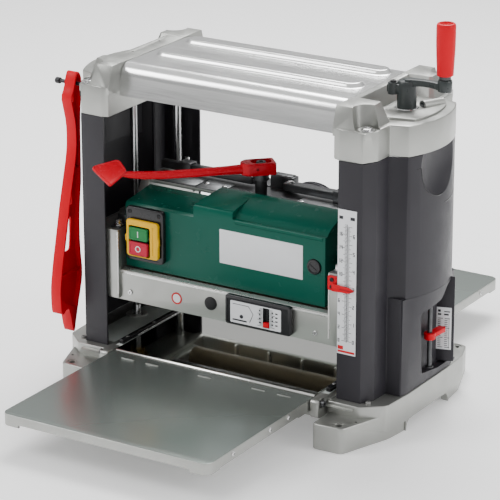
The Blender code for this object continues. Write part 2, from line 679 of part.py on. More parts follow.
def cutter():
    head = rod((CUTTER_LEFT, 0, CUTTER_Z), (CUTTER_RIGHT, 0, CUTTER_Z), CUTTER_R, segments=32)
    joined(head, rod((-0.1965, 0, CUTTER_Z), (0.1965, 0, CUTTER_Z), SHAFT_R, segments=24))
    joined(head, rod((PULLEY_LEFT, 0, CUTTER_Z), (PULLEY_RIGHT, 0, CUTTER_Z), CUTTER_PULLEY_R, segments=32))
    for end in (-1, 1):
        low_y, high_y = sorted((end * 0.0165, end * 0.030))
        slot = KNIFE_THICK / 2 + GAP
        cut(head, box((CUTTER_LEFT - 0.01, low_y, CUTTER_Z - slot),
                      (CUTTER_RIGHT + 0.0005, high_y, CUTTER_Z + slot)))
    part("cutterhead", "dark_steel", head, pivot=(0, 0, CUTTER_Z))
    for name, end in (("front_knife", -1), ("rear_knife", 1)):
        low_y, high_y = sorted((end * 0.0170, end * KNIFE_TIP))
        blade = box((CUTTER_LEFT + 0.001, low_y, CUTTER_Z - KNIFE_THICK / 2),
                    (CUTTER_RIGHT - 0.001, high_y, CUTTER_Z + KNIFE_THICK / 2))
        part(name, "bright_steel", blade)


def rollers():
    for name, end in (("infeed_roller", -1), ("outfeed_roller", 1)):
        y = end * ROLLER_Y
        roller = rod((CUTTER_LEFT + 0.002, y, ROLLER_Z), (CUTTER_RIGHT - 0.002, y, ROLLER_Z), ROLLER_R,
                     segments=32)
        joined(roller, rod((-0.195, y, ROLLER_Z), (0.195, y, ROLLER_Z), ROLLER_SHAFT_R, segments=16))
        part(name, "rubber", roller, pivot=(0, y, ROLLER_Z))
    box_low = (OPEN_LEFT + GAP, -0.080, 0.134)
    box_high = (CUTTER_LEFT - 0.0030, 0.080, 0.172)
    gears = box(box_low, box_high)
    cut(gears, rod((-0.2, 0, CUTTER_Z), (-0.15, 0, CUTTER_Z), SHAFT_R + GAP))
    for end in (-1, 1):
        y = end * ROLLER_Y
        cut(gears, rod((-0.2, y, ROLLER_Z), (-0.15, y, ROLLER_Z), ROLLER_SHAFT_R + GAP, segments=16))
    part("feed_gearbox", "cast_aluminium", gears)


def chip_extraction():
    hood = arc((0, CUTTER_Z), 0.0305, 12, 168, 15) + arc((0, CUTTER_Z), 0.0285, 168, 12, 15)
    part("chip_hood", "bright_steel", prism(hood, CUTTER_LEFT + 0.002, CUTTER_RIGHT - 0.002, "X"))
    low, high = 0.166, 0.276
    mid = (low + high) / 2
    duct = box((-0.056, 0.040, low), (0.056, CARRIAGE_FRONT + 0.004, high))
    joined(duct, rod((0, CARRIAGE_FRONT + 0.001, mid), (0, 0.1470, mid), 0.0535, segments=40))
    cut(duct, box((-0.053, 0.030, low + 0.003), (0.053, CARRIAGE_FRONT + 0.001, high - 0.003)))
    cut(duct, rod((0, 0.100, mid), (0, 0.160, mid), 0.0500, segments=40))
    part("chip_outlet", "black_plastic", duct)


def switch():
    plate = box((-0.1755, -0.1108, 0.1935), (-0.1095, -0.1023, 0.2765))
    part("switch_plate", "black_plastic", plate)
    back, front = -0.1112, -0.1170
    frame = box((-0.1705, front, 0.2015), (-0.1145, back, 0.2590))
    cut(frame, box((-0.1660, -0.130, 0.2035), (-0.1285, -0.100, 0.2500)))
    part("switch_frame", "yellow_plastic", frame)
    for name, finish, low, high in (("start_button", "green_button", 0.2275, 0.2490),
                                    ("stop_button", "red_plastic", 0.2045, 0.2265)):
        key = box((-0.1650, -0.1205, low), (-0.1295, -0.1150, high))
        edge = key.modifiers.new("edge", "BEVEL")
        edge.width = 0.0012
        edge.segments = 2
        part(name, finish, key, pivot=(-0.147, -0.118, (low + high) / 2))


def gauge():
    back = -CARRIAGE_FRONT - GAP - 0.0003
    frame = box((0.0080, -0.1265, 0.1325), (0.1190, back, 0.1780))
    cut(frame, box((0.0727, -0.130, 0.1385), (0.0833, -0.1215, 0.1680)))
    part("gauge_frame", "black_plastic", frame)
    pointer = box((0.0731, -0.1272, 0.1389), (0.0829, -0.1220, 0.1460))
    part("gauge_pointer", "red_plastic", pointer, pivot=(0.078, -0.1246, 0.1425))


def height_pointer():
    foot = box((0.1775, -0.1220, 0.2155), (0.1980, -CARRIAGE_FRONT - GAP - 0.0003, 0.2375))
    neck = box((0.1925, -0.1368, 0.2210), (0.1975, -0.1200, 0.2320))
    tongue = [(0.1925, 0.2210), (0.2240, 0.2225), (0.2285, 0.2262), (0.2240, 0.2300), (0.1925, 0.2320)]
    blade = prism(tongue, -0.1368, -0.1343, "Y")
    part("height_pointer", "red_plastic", joined(foot, neck, blade))


def lock_mechanism():
    turn = Matrix.Translation((LEVER_X, LEVER_Y, 0)) @ Matrix.Rotation(LEVER_ANGLE, 4, "Z")
    block = prism([(-0.020, -0.0135), (0.022, -0.0135), (0.030, -0.006), (0.030, 0.006), (0.022, 0.0135),
                   (-0.020, 0.0135)], 0.3275, 0.3455)
    bar = prism([(0.020, -0.0085), (0.120, -0.0070), (0.180, -0.0065), (0.180, 0.0065), (0.120, 0.0070),
                 (0.020, 0.0085)], 0.3325, 0.3425)
    lever = moved(block, turn)
    paddle = prism([(0.172, -0.0065), (0.188, -0.020), (0.222, -0.026), (0.236, -0.004), (0.226, 0.030),
                    (0.206, 0.030), (0.176, 0.008)], 0.3345, 0.3400)
    joined(lever, moved(bar, turn), moved(paddle, turn))
    part("lock_lever", "red_plastic", lever, pivot=(LEVER_X, LEVER_Y, LEVER_Z))
    stem = rod((LEVER_X, LEVER_Y, 0.3160), (LEVER_X, LEVER_Y, 0.3271), 0.0120, segments=20)
    joined(stem, rod((LEVER_X, LEVER_Y, DECK_TOP + GAP), (LEVER_X, LEVER_Y, 0.3180), 0.0090, segments=20))
    part("lock_shaft", "dark_steel", stem)
    for name, low_x, high_x in (("left_lock_rod", -0.1940, -0.0320), ("right_lock_rod", 0.0220, 0.1940)):
        slide = box((low_x, 0.0130, 0.2985), (high_x, 0.0250, 0.3105))
        part(name, "dark_steel", slide)


def cable_gland():
    profile = [(0, 0.0200), (0.0050, 0.0200), (0.0065, 0.0190), (0.0085, 0.0080), (0.0085, 0.0), (0, 0.0)]
    part("cable_gland", "rubber", turned(profile, (-0.150, CARRIAGE_FRONT - 0.0001, 0.145), (0, 1, 0), 16))


# ---------------------------------------------------------------- push stick

def push_stick():
    wall_x = -0.2512
    hook = rod((wall_x, HOOK_Y, HOOK_Z), (-0.2960, HOOK_Y, HOOK_Z), 0.0030, segments=12)
    joined(hook, rod((-0.2930, HOOK_Y, HOOK_Z), (HOOK_END_X, HOOK_Y, HOOK_Z), 0.0048, segments=12))
    joined(hook, box((-0.2560, HOOK_Y - 0.004, HOOK_Z - 0.018),
                     (wall_x - 0.0001, HOOK_Y + 0.004, HOOK_Z + 0.003)))
    part("push_stick_hook", "dark_steel", hook)
    outline = [
        (-0.1305, 0.0655), (-0.1262, 0.0655), (-0.1235, 0.0780), (-0.1190, 0.0950), (-0.1144, 0.1110),
        (-0.1095, 0.1263), (-0.1052, 0.1411), (-0.1035, 0.1568), (-0.1050, 0.1735), (-0.1080, 0.2000),
        (-0.1080, 0.2380), (-0.1050, 0.2690), (-0.1010, 0.2993), (-0.1005, 0.3400), (-0.1000, 0.3900),
        (-0.0975, 0.4200), (-0.0935, 0.4380), (-0.0940, 0.4540), (-0.0990, 0.4655), (-0.1050, 0.4675),
        (-0.1100, 0.4600), (-0.1146, 0.4430), (-0.1228, 0.4307), (-0.1180, 0.4124), (-0.1118, 0.3887),
        (-0.1108, 0.3611), (-0.1140, 0.3370), (-0.1232, 0.3031), (-0.1320, 0.2732), (-0.1390, 0.2436),
        (-0.1459, 0.2140), (-0.1532, 0.1844), (-0.1590, 0.1560), (-0.1612, 0.1391), (-0.1612, 0.1220),
        (-0.1597, 0.1025), (-0.1545, 0.1000), (-0.1455, 0.1060), (-0.1390, 0.1050),
    ]
    outer, inner = STICK_X - STICK_HALF, STICK_X + STICK_HALF
    stick = prism(outline, outer, inner, "X")
    pocket = inset(outline[3:-4], STICK_RIM)
    cut(stick, prism(pocket, outer - 0.01, STICK_X - STICK_WEB, "X"))
    cut(stick, prism(pocket, STICK_X + STICK_WEB, inner + 0.01, "X"))
    wide_slot = [(-0.1375, 0.1965), (-0.1345, 0.1930), (-0.1265, 0.1935), (-0.1235, 0.1965),
                 (-0.1190, 0.2410), (-0.1205, 0.2455), (-0.1245, 0.2435), (-0.1310, 0.2230)]
    cut(stick, prism(wide_slot, outer - 0.01, inner + 0.01, "X"))
    for centre_y, low, high, half in ((-0.1085, 0.4225, 0.4290, 0.0036), (-0.1185, 0.2665, 0.2800, 0.0032)):
        slot = arc((centre_y, high), half, 0, 180, 7) + arc((centre_y, low), half, 180, 360, 7)
        cut(stick, prism(slot, outer - 0.01, inner + 0.01, "X"))
    cut(stick, rod((outer - 0.01, HOOK_Y, HOOK_Z - 0.0025), (inner + 0.01, HOOK_Y, HOOK_Z - 0.0025), 0.0059))
    part("push_stick", "red_plastic", stick, pivot=(STICK_X, HOOK_Y, HOOK_Z))


def build():
    start_scene()
    base_casting()
    bed()
    table("infeed_table", -1)
    table("outfeed_table", 1)
    hinge_pins()
    columns()
    housing("left_housing", -1)
    housing("right_housing", 1)
    depth_stop()
    top_casting("left_top_casting", -1)
    top_casting("right_top_casting", 1)
    top_cover()
    height_scale()
    height_drive()
    crank()
    carriage_casting()
    lead_nuts()
    motor_cover()
    motor()
    cutter()
    rollers()
    chip_extraction()
    switch()
    gauge()
    height_pointer()
    lock_mechanism()
    cable_gland()
    push_stick()


build()
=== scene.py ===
"""Looks for the thickness planer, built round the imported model. Metres, +Z up, boards fed along +Y."""
import math

import bmesh
import bpy
from mathutils import Matrix, Vector


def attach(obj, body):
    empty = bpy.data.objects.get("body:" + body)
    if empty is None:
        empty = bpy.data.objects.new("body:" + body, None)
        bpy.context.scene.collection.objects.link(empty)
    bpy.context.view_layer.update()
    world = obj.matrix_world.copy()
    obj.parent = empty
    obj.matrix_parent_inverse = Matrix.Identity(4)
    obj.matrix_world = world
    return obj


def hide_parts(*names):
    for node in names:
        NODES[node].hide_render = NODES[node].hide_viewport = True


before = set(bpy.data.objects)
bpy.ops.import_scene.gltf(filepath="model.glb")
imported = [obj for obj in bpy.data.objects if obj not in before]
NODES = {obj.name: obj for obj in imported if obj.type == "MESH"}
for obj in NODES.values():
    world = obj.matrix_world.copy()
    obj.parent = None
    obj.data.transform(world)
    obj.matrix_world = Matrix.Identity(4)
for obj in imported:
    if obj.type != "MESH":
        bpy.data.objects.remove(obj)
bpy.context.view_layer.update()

# ---------------------------------------------------------------- materials


def node_tree(name):
    material = bpy.data.materials.new(name)
    material.use_nodes = True
    tree = material.node_tree
    return material, tree, tree.nodes["Principled BSDF"]


def noise(tree, scale, detail=3.0, stretch=(1, 1, 1)):
    """A noise factor in the object's own coordinates, scale in features per metre."""
    coords = tree.nodes.new("ShaderNodeTexCoord")
    mapping = tree.nodes.new("ShaderNodeMapping")
    mapping.inputs["Scale"].default_value = stretch
    tree.links.new(coords.outputs["Object"], mapping.inputs["Vector"])
    texture = tree.nodes.new("ShaderNodeTexNoise")
    texture.inputs["Scale"].default_value = scale
    texture.inputs["Detail"].default_value = detail
    tree.links.new(mapping.outputs["Vector"], texture.inputs["Vector"])
    return texture.outputs["Fac"]


def ramp(tree, factor, stops):
    node = tree.nodes.new("ShaderNodeValToRGB")
    elements = node.color_ramp.elements
    while len(elements) < len(stops):
        elements.new(0.5)
    for element, (place, colour) in zip(elements, stops):
        element.position = place
        element.color = (*colour, 1.0)
    tree.links.new(factor, node.inputs["Fac"])
    return node.outputs["Color"]


def spread_of(tree, factor, low, high):
    node = tree.nodes.new("ShaderNodeMapRange")
    node.inputs["From Min"].default_value = 0.3
    node.inputs["From Max"].default_value = 0.7
    node.inputs["To Min"].default_value = low
    node.inputs["To Max"].default_value = high
    tree.links.new(factor, node.inputs["Value"])
    return node.outputs["Result"]


def tinted(colour, amount):
    return tuple(min(1.0, max(0.0, c * amount)) for c in colour)


def surface(name, colour, rough, metal=0.0, mottle=0.06, patches=14.0, rough_spread=0.06,
            grain=900.0, bump=0.08, relief=0.0002, streak=None, shine=0.5):
    """A finish with colour mottling, uneven gloss and a fine surface relief.

    streak is (stretch, scale, depth): drawn or brushed lines, long along the axis with the small stretch.
    """
    material, tree, shader = node_tree(name)
    low, high = tinted(colour, 1 - mottle), tinted(colour, 1 + mottle)
    broad = noise(tree, patches, 4.0)
    tree.links.new(ramp(tree, broad, [(0.3, low), (0.7, high)]), shader.inputs["Base Color"])
    gloss = noise(tree, patches * 5, 3.0)
    relief_source = noise(tree, grain, 2.0)
    height = tree.nodes.new("ShaderNodeBump")
    height.inputs["Strength"].default_value = bump
    height.inputs["Distance"].default_value = relief
    tree.links.new(relief_source, height.inputs["Height"])
    if streak:
        stretch, scale, depth = streak
        lines = noise(tree, scale, 2.0, stretch)
        gloss = lines
        second = tree.nodes.new("ShaderNodeBump")
        second.inputs["Strength"].default_value = depth
        second.inputs["Distance"].default_value = relief
        tree.links.new(lines, second.inputs["Height"])
        tree.links.new(second.outputs["Normal"], height.inputs["Normal"])
    tree.links.new(spread_of(tree, gloss, rough - rough_spread, rough + rough_spread),
                   shader.inputs["Roughness"])
    if bump > 0:
        tree.links.new(height.outputs["Normal"], shader.inputs["Normal"])
    shader.inputs["Metallic"].default_value = metal
    shader.inputs["Specular IOR Level"].default_value = shine
    return material


ALONG_X, ALONG_Y, ALONG_Z = (0.03, 1, 1), (1, 0.03, 1), (1, 1, 0.03)
M = {
    "cast": surface("cast_aluminium", (0.375, 0.38, 0.36), 0.34, 0.8, 0.05, 9, 0.06, 1500, 0.2, 0.0003),
    "cast_inner": surface("cast_aluminium_inner",
                          (0.3, 0.3, 0.29), 0.55, 0.5, 0.12, 20, 0.06, 900, 0.3, 0.0003),
    "deck": surface("deck_coating", (0.62, 0.67, 0.64), 0.34, 0.2, 0.06, 16, 0.06, 900, 0.12, 0.0002),
    "milled": surface("milled_aluminium", (0.72, 0.72, 0.7), 0.3, 0.75, 0.04, 12, 0.05, 1500, 0.1, 0.0002),
    "table": surface("table_coating", (0.205, 0.235, 0.218), 0.26, 0.6, 0.03, 3, 0.01, bump=0.0),
    "cover": surface("rolled_sheet", (0.78, 0.785, 0.78), 0.22, 1.0, 0.03, 7, 0.05, 900, 0.04, 0.0002,
                     (ALONG_X, 420, 0.02)),
    "polished": surface("polished_steel",
                        (0.66, 0.665, 0.635), 0.05, 1.0, 0.04, 10, 0.02, 1200, 0.004, 0.0001,
                        (ALONG_Y, 700, 0.008)),
    "ground": surface("ground_steel", (0.62, 0.625, 0.63), 0.2, 1.0, 0.04, 30, 0.06, 1500, 0.04, 0.0001,
                      (ALONG_Z, 900, 0.08)),
    "bright_screw": surface("bright_screw",
                            (0.62, 0.62, 0.62), 0.24, 1.0, 0.06, 90, 0.08, 3000, 0.05, 0.0001),
    "dark_steel": surface("dark_steel", (0.075, 0.077, 0.08), 0.36, 0.75, 0.15, 40, 0.08, 1500, 0.12, 0.0002),
    "black_screw": surface("black_screw", (0.03, 0.03, 0.032), 0.38, 0.6, 0.1, 90, 0.08, 2500, 0.1, 0.0001),
    "black": surface("moulded_black", (0.025, 0.0235, 0.0285), 0.4, 0.0, 0.1, 12, 0.05, 2600, 0.35, 0.0003,
                     shine=0.28),
    "black_gloss": surface("black_gloss",
                           (0.012, 0.012, 0.014), 0.22, 0.0, 0.08, 30, 0.05, 2000, 0.06, 0.0001, shine=0.4),
    "crank": surface("crank_enamel", (0.03, 0.036, 0.036), 0.32, 0.0, 0.1, 30, 0.06, 1600, 0.18, 0.0002,
                     shine=0.4),
    "green": surface("green_enamel", (0.0005, 0.084, 0.056), 0.26, 0.0, 0.03, 10, 0.02, bump=0.0,
                     shine=0.16),
    "red": surface("red_moulded", (0.6, 0.0012, 0.013), 0.34, 0.0, 0.04, 18, 0.04, 900, 0.05, 0.0002,
                   shine=0.12),
    "red_enamel": surface("red_enamel", (0.54, 0.002, 0.014), 0.26, 0.0, 0.03, 25, 0.03, 500, 0.03, 0.0001,
                          shine=0.16),
    "red_button": surface("red_button", (0.52, 0.02, 0.05), 0.34, 0.0, 0.05, 60, 0.05, 2200, 0.1, 0.0001,
                          shine=0.15),
    "green_button": surface("green_button", (0.02, 0.2, 0.06), 0.34, 0.0, 0.05, 60, 0.05, 2200, 0.1, 0.0001,
                            shine=0.15),
    "yellow": surface("yellow_moulded", (0.84, 0.47, 0.006), 0.4, 0.0, 0.05, 40, 0.05, 2200, 0.15, 0.0002,
                      shine=0.2),
    "rubber": surface("black_rubber", (0.018, 0.018, 0.019), 0.62, 0.0, 0.15, 40, 0.07, 1800, 0.3, 0.0003,
                      shine=0.3),
    "roller": surface("roller_rubber", (0.165, 0.135, 0.085), 0.55, 0.0, 0.1, 40, 0.06, 1500, 0.25, 0.0003,
                      shine=0.3),
    "white": surface("white_film", (0.78, 0.79, 0.81), 0.42, 0.0, 0.02, 30, 0.04, 2500, 0.04, 0.0001,
                     shine=0.3),
    "ink": surface("printed_ink", (0.02, 0.02, 0.025), 0.5, 0.0, 0.1, 90, 0.05, 2500, 0.04, 0.0001,
                   shine=0.3),
    "red_ink": surface("red_ink", (0.55, 0.015, 0.02), 0.5, 0.0, 0.1, 90, 0.05, 2500, 0.04, 0.0001,
                       shine=0.2),
    "galvanised": surface("galvanised_sheet",
                          (0.42, 0.43, 0.44), 0.38, 0.9, 0.12, 60, 0.08, 900, 0.12, 0.0002),
    "brass": surface("brass_nut", (0.52, 0.36, 0.13), 0.32, 1.0, 0.08, 60, 0.08, 1800, 0.08, 0.0001),
}

# ---------------------------------------------------------------- mesh tools

UP, FORWARD, ACROSS, BACK = (0, 0, 1), (0, -1, 0), (1, 0, 0), (0, 1, 0)
PLANES = {
    "X": lambda u, v, w: (w, u, v),
    "Y": lambda u, v, w: (u, w, v),
    "Z": lambda u, v, w: (u, v, w),
}


def to_object(bm, name="piece"):
    bmesh.ops.recalc_face_normals(bm, faces=bm.faces)
    mesh = bpy.data.meshes.new(name)
    bm.to_mesh(mesh)
    bm.free()
    return bpy.data.objects.new(name, mesh)


def round_edges(bm, width, segments=2, limit=32):
    """Bevels every edge sharper than the limit, in degrees."""
    bmesh.ops.recalc_face_normals(bm, faces=bm.faces)
    bm.normal_update()
    least = math.radians(limit)
    edges = [e for e in bm.edges if len(e.link_faces) == 2 and e.calc_face_angle(0) > least]
    if edges and width > 0:
        bmesh.ops.bevel(bm, geom=edges, offset=width, segments=segments, profile=0.5, affect="EDGES",
                        clamp_overlap=True)
    return bm


def box(low, high, bevel=0.0006, segments=2):
    bm = bmesh.new()
    bmesh.ops.create_cube(bm, size=1.0)
    bmesh.ops.scale(bm, vec=[b - a for a, b in zip(low, high)], verts=bm.verts)
    bmesh.ops.translate(bm, vec=[(a + b) / 2 for a, b in zip(low, high)], verts=bm.verts)
    return to_object(round_edges(bm, bevel, segments))


def prism(outline, low, high, axis="Z", bevel=0.0006, segments=2, taper=0.0, limit=32):
    """A flat outline extruded along an axis; taper shrinks the high end towards its middle."""
    place = PLANES[axis]
    bm = bmesh.new()
    cu = sum(u for u, v in outline) / len(outline)
    cv = sum(v for u, v in outline) / len(outline)
    shrink = 1 - taper
    bottom = [bm.verts.new(place(u, v, low)) for u, v in outline]
    top = [bm.verts.new(place(cu + (u - cu) * shrink, cv + (v - cv) * shrink, high)) for u, v in outline]
    bm.faces.new(bottom)
    bm.faces.new(top)
    count = len(outline)
    for i in range(count):
        j = (i + 1) % count
        bm.faces.new((bottom[i], bottom[j], top[j], top[i]))
    return to_object(round_edges(bm, bevel, segments, limit))


def mitre(before, after):
    """The offset at a corner that moves both of its sides by one to their left."""
    first, second = before.normalized(), after.normalized()
    normal_a, normal_b = Vector((-first.y, first.x)), Vector((-second.y, second.x))
    middle = (normal_a + normal_b).normalized()
    return middle / max(0.3, middle.dot(normal_a))


def ribbon(path, low, high, axis, thickness, bevel=0.0, limit=32):
    """A bent sheet: an open path thickened about its middle and extruded along an axis."""
    left, right = [], []
    for i, point in enumerate(path):
        here = Vector(point)
        before = here - Vector(path[i - 1]) if i else None
        after = Vector(path[i + 1]) - here if i < len(path) - 1 else None
        offset = mitre(before or after, after or before) * (thickness / 2)
        left.append(tuple(here + offset))
        right.append(tuple(here - offset))
    return prism(left + right[::-1], low, high, axis, bevel, 2, 0.0, limit)


def turned(profile, start=(0, 0, 0), direction=UP, segments=48, closed=False):
    """A turned piece: profile is (radius, height) pairs along the direction from start."""
    turn = Vector(UP).rotation_difference(Vector(direction)).to_matrix().to_4x4()
    matrix = Matrix.Translation(start) @ turn
    bm = bmesh.new()
    rings = []
    for radius, height in profile:
        if radius <= 0:
            rings.append([bm.verts.new(matrix @ Vector((0, 0, height)))])
            continue
        angles = [2 * math.pi * i / segments for i in range(segments)]
        rings.append([bm.verts.new(matrix @ Vector((radius * math.cos(a), radius * math.sin(a), height)))
                      for a in angles])
    pairs = list(zip(rings, rings[1:] + rings[:1])) if closed else list(zip(rings, rings[1:]))
    for one, other in pairs:
        for i in range(segments):
            j = (i + 1) % segments
            ring = [one[i % len(one)], one[j % len(one)], other[j % len(other)], other[i % len(other)]]
            corners = list(dict.fromkeys(ring))
            if len(corners) > 2:
                bm.faces.new(corners)
    return to_object(bm)


def disc(place, direction, radius, height, segments, hole=0):
    """A plain disc, or a washer if it has a hole."""
    profile = [(hole, 0), (radius, 0), (radius, height), (hole, height)]
    return turned(profile, place, direction, segments, closed=hole > 0)


def rod(start, end, radius, segments=32, bevel=0.0):
    """A round bar from start to end with small chamfers."""
    start, end = Vector(start), Vector(end)
    length = (end - start).length
    edge = min(bevel, radius * 0.5, length * 0.4)
    profile = [(0, 0), (radius - edge, 0), (radius, edge), (radius, length - edge), (radius - edge, length),
               (0, length)]
    if edge <= 0:
        profile = [(0, 0), (radius, 0), (radius, length), (0, length)]
    return turned(profile, start, end - start, segments)


def loft(rings, caps=True):
    """A skin over rings of points, each ring a list of the same number of points."""
    bm = bmesh.new()
    grid = [[bm.verts.new(p) for p in ring] for ring in rings]
    count = len(grid[0])
    for one, other in zip(grid, grid[1:]):
        for i in range(count):
            j = (i + 1) % count
            bm.faces.new((one[i], one[j], other[j], other[i]))
    if caps:
        bm.faces.new(grid[0])
        bm.faces.new(grid[-1])
    return to_object(bm)


def tube(points, radius, segments=12, closed=False):
    """A round wire or bar through the points."""
    points = [Vector(p) for p in points]
    rings = []
    count = len(points)
    side_way = None
    for i, here in enumerate(points):
        before = points[i - 1] if i or closed else here
        after = points[(i + 1) % count] if i < count - 1 or closed else here
        along = (after - before).normalized()
        if side_way is None:
            seed = Vector(UP) if abs(along.z) < 0.9 else Vector(ACROSS)
            side_way = along.cross(seed).normalized()
        side_way = (side_way - along * side_way.dot(along)).normalized()
        other = along.cross(side_way)
        rings.append([here + (side_way * math.cos(a) + other * math.sin(a)) * radius
                      for a in (2 * math.pi * k / segments for k in range(segments))])
    if closed:
        rings.append(rings[0])
    obj = loft(rings, caps=not closed)
    if closed:
        weld(obj)
    return obj


def weld(obj, distance=0.000005):
    bm = bmesh.new()
    bm.from_mesh(obj.data)
    bmesh.ops.remove_doubles(bm, verts=bm.verts, dist=distance)
    bmesh.ops.recalc_face_normals(bm, faces=bm.faces)
    bm.to_mesh(obj.data)
    bm.free()
    return obj


def settled(obj):
    """The object with its modifiers applied."""
    scene = bpy.context.scene.collection
    scene.objects.link(obj)
    bpy.context.view_layer.update()
    mesh = bpy.data.meshes.new_from_object(obj.evaluated_get(bpy.context.evaluated_depsgraph_get()))
    scene.objects.unlink(obj)
    return bpy.data.objects.new(obj.name, mesh)


def boolean(obj, others, operation):
    for i, other in enumerate(others):
        bpy.context.scene.collection.objects.link(other)
        modifier = obj.modifiers.new(f"step{i}", "BOOLEAN")
        modifier.operation = operation
        modifier.solver = "EXACT"
        modifier.object = other
    result = settled(obj)
    for other in others:
        bpy.data.objects.remove(other)
    return result


def cut(obj, *others):
    return boolean(obj, others, "DIFFERENCE")


def fused(obj, *others):
    return boolean(obj, others, "UNION")


def edged(obj, width, segments=2, limit=35):
    """Bevels the sharp edges of a cut or fused shape."""
    bm = bmesh.new()
    bm.from_mesh(obj.data)
    bmesh.ops.remove_doubles(bm, verts=bm.verts, dist=0.00002)
    bmesh.ops.dissolve_limit(bm, angle_limit=math.radians(1), verts=bm.verts, edges=bm.edges)
    round_edges(bm, width, segments, limit)
    return to_object(bm)


def pose(place, angle, axis):
    return Matrix.Translation(place) @ Matrix.Rotation(angle, 4, axis)


def moved(obj, matrix):
    obj.data.transform(matrix)
    if matrix.determinant() < 0:
        obj.data.flip_normals()
    return obj


def copied(obj, matrix):
    return moved(bpy.data.objects.new(obj.name, obj.data.copy()), matrix)


def flipped(obj, x=1, y=1):
    """A mirrored copy."""
    return copied(obj, Matrix.Diagonal((x, y, 1, 1)))


def merged(*shapes):
    """All the shapes as one mesh, with no Boolean."""
    bm = bmesh.new()
    for shape in shapes:
        bm.from_mesh(shape.data)
    mesh = bpy.data.meshes.new("merged")
    bm.to_mesh(mesh)
    bm.free()
    return bpy.data.objects.new("merged", mesh)


def shade(mesh, angle=32):
    mesh.polygons.foreach_set("use_smooth", [True] * len(mesh.polygons))
    mesh.set_sharp_from_angle(angle=math.radians(angle))


def piece(name, body, material, *shapes, stands_for=None, slot=None, angle=32):
    """Puts shapes into the scene as one named piece that moves with a body."""
    obj = merged(*shapes) if len(shapes) > 1 else shapes[0]
    obj.name = name
    obj.data.name = name
    shade(obj.data, angle)
    obj.data.materials.clear()
    obj.data.materials.append(M[material])
    bpy.context.scene.collection.objects.link(obj)
    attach(obj, body)
    if stands_for:
        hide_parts(stands_for)
    return obj


def arc(centre, radius, start, end, count):
    """Points on an arc, angles in degrees."""
    angles = [math.radians(start + (end - start) * i / (count - 1)) for i in range(count)]
    return [(centre[0] + radius * math.cos(a), centre[1] + radius * math.sin(a)) for a in angles]


def mirrored(points):
    return [(-x, y) for x, y in reversed(points)]


def reflected(points):
    return [(x, -y) for x, y in points[::-1]]


def at_end(points, end):
    """The outline in Y and Z at the front (-1) or the rear (1)."""
    return [(end * y, z) for y, z in points]


def side(points, sign):
    return points if sign > 0 else mirrored(points)


def inset(points, distance):
    """A closed counter-clockwise outline moved inwards."""
    result = []
    for i, point in enumerate(points):
        here = Vector(point)
        after = Vector(points[(i + 1) % len(points)]) - here
        result.append(tuple(here + mitre(here - Vector(points[i - 1]), after) * distance))
    return result


def rounded(outline, radius, steps=4):
    """The outline with its corners rounded."""
    result = []
    count = len(outline)
    for i in range(count):
        here = Vector(outline[i])
        before, after = Vector(outline[i - 1]) - here, Vector(outline[(i + 1) % count]) - here
        reach = min(radius, before.length * 0.45, after.length * 0.45)
        start, end = here + before.normalized() * reach, here + after.normalized() * reach
        for k in range(steps + 1):
            t = k / steps
            result.append(tuple(start * (1 - t) ** 2 + here * 2 * t * (1 - t) + end * t * t))
    return result


def rectangle(u0, u1, v0, v1, radius, steps=4):
    return rounded([(u0, v0), (u1, v0), (u1, v1), (u0, v1)], radius, steps)


def mark(x0, x1, z0, z1, y, depth=0.0003):
    """A thin printed rectangle whose back lies at y."""
    return box((x0, y - depth, z0), (x1, y, z1), 0)


def hex_socket_screw(place, direction, radius=0.0045, height=0.004):
    """A socket cap screw head with a hexagonal recess."""
    head = turned([(0, 0), (radius, 0), (radius, height * 0.85), (radius * 0.88, height), (0, height)],
                  segments=24)
    socket = turned([(0, height * 0.35), (radius * 0.5, height * 0.35), (radius * 0.5, height * 1.5),
                     (0, height * 1.5)], segments=6)
    return put(cut(head, socket), place, direction)


def cross_screw(place, direction, radius=0.0042, height=0.0022):
    """A domed screw head with a cross recess."""
    head = turned([(0, 0), (radius, 0), (radius, height * 0.3), (radius * 0.9, height * 0.65),
                   (radius * 0.62, height * 0.92), (0, height)], segments=24)
    width = radius * 0.14
    reach = radius * 0.56
    bars = [box((-reach, -width, height * 0.45), (reach, width, height * 1.6), 0),
            box((-width, -reach, height * 0.45), (width, reach, height * 1.6), 0)]
    return put(cut(head, *bars), place, direction)


def hex_bolt(place, direction, across=0.013, height=0.0055, washer=0.01):
    flat = disc((0, 0, 0), UP, washer, 0.0014, 32)
    radius = across / math.sqrt(3)
    nut = turned([(0, 0.0014), (radius, 0.0014), (radius, height * 0.85), (radius * 0.86, height),
                  (0, height)],
                 segments=6)
    return put(merged(flat, nut), place, direction)


def put(obj, place, direction):
    turn = Vector(UP).rotation_difference(Vector(direction)).to_matrix().to_4x4()
    return moved(obj, Matrix.Translation(place) @ turn)

# ---------------------------------------------------------------- stage, light and camera


def stage():
    floor = rod((0, 0, -0.02), (0, 0, 0.0), 12.0, 96)
    floor.name = "floor"
    pale = surface("pale_floor", (0.88, 0.88, 0.88), 0.7, 0.0, 0.01, 2, 0.03, 60, 0.02, 0.0004, shine=0.1)
    glow = pale.node_tree.nodes["Principled BSDF"]
    glow.inputs["Emission Color"].default_value = (1.0, 1.0, 1.0, 1.0)
    glow.inputs["Emission Strength"].default_value = 0.27
    floor.data.materials.append(pale)
    bpy.context.scene.collection.objects.link(floor)


def softbox(name, place, target, size, power, tall=None):
    light = bpy.data.lights.new(name, "AREA")
    light.shape = "RECTANGLE"
    light.size = size
    light.size_y = tall or size
    light.energy = power
    lamp = bpy.data.objects.new(name, light)
    lamp.location = place
    lamp.rotation_mode = "QUATERNION"
    lamp.rotation_quaternion = (Vector(target) - Vector(place)).to_track_quat("-Z", "Y")
    bpy.context.scene.collection.objects.link(lamp)


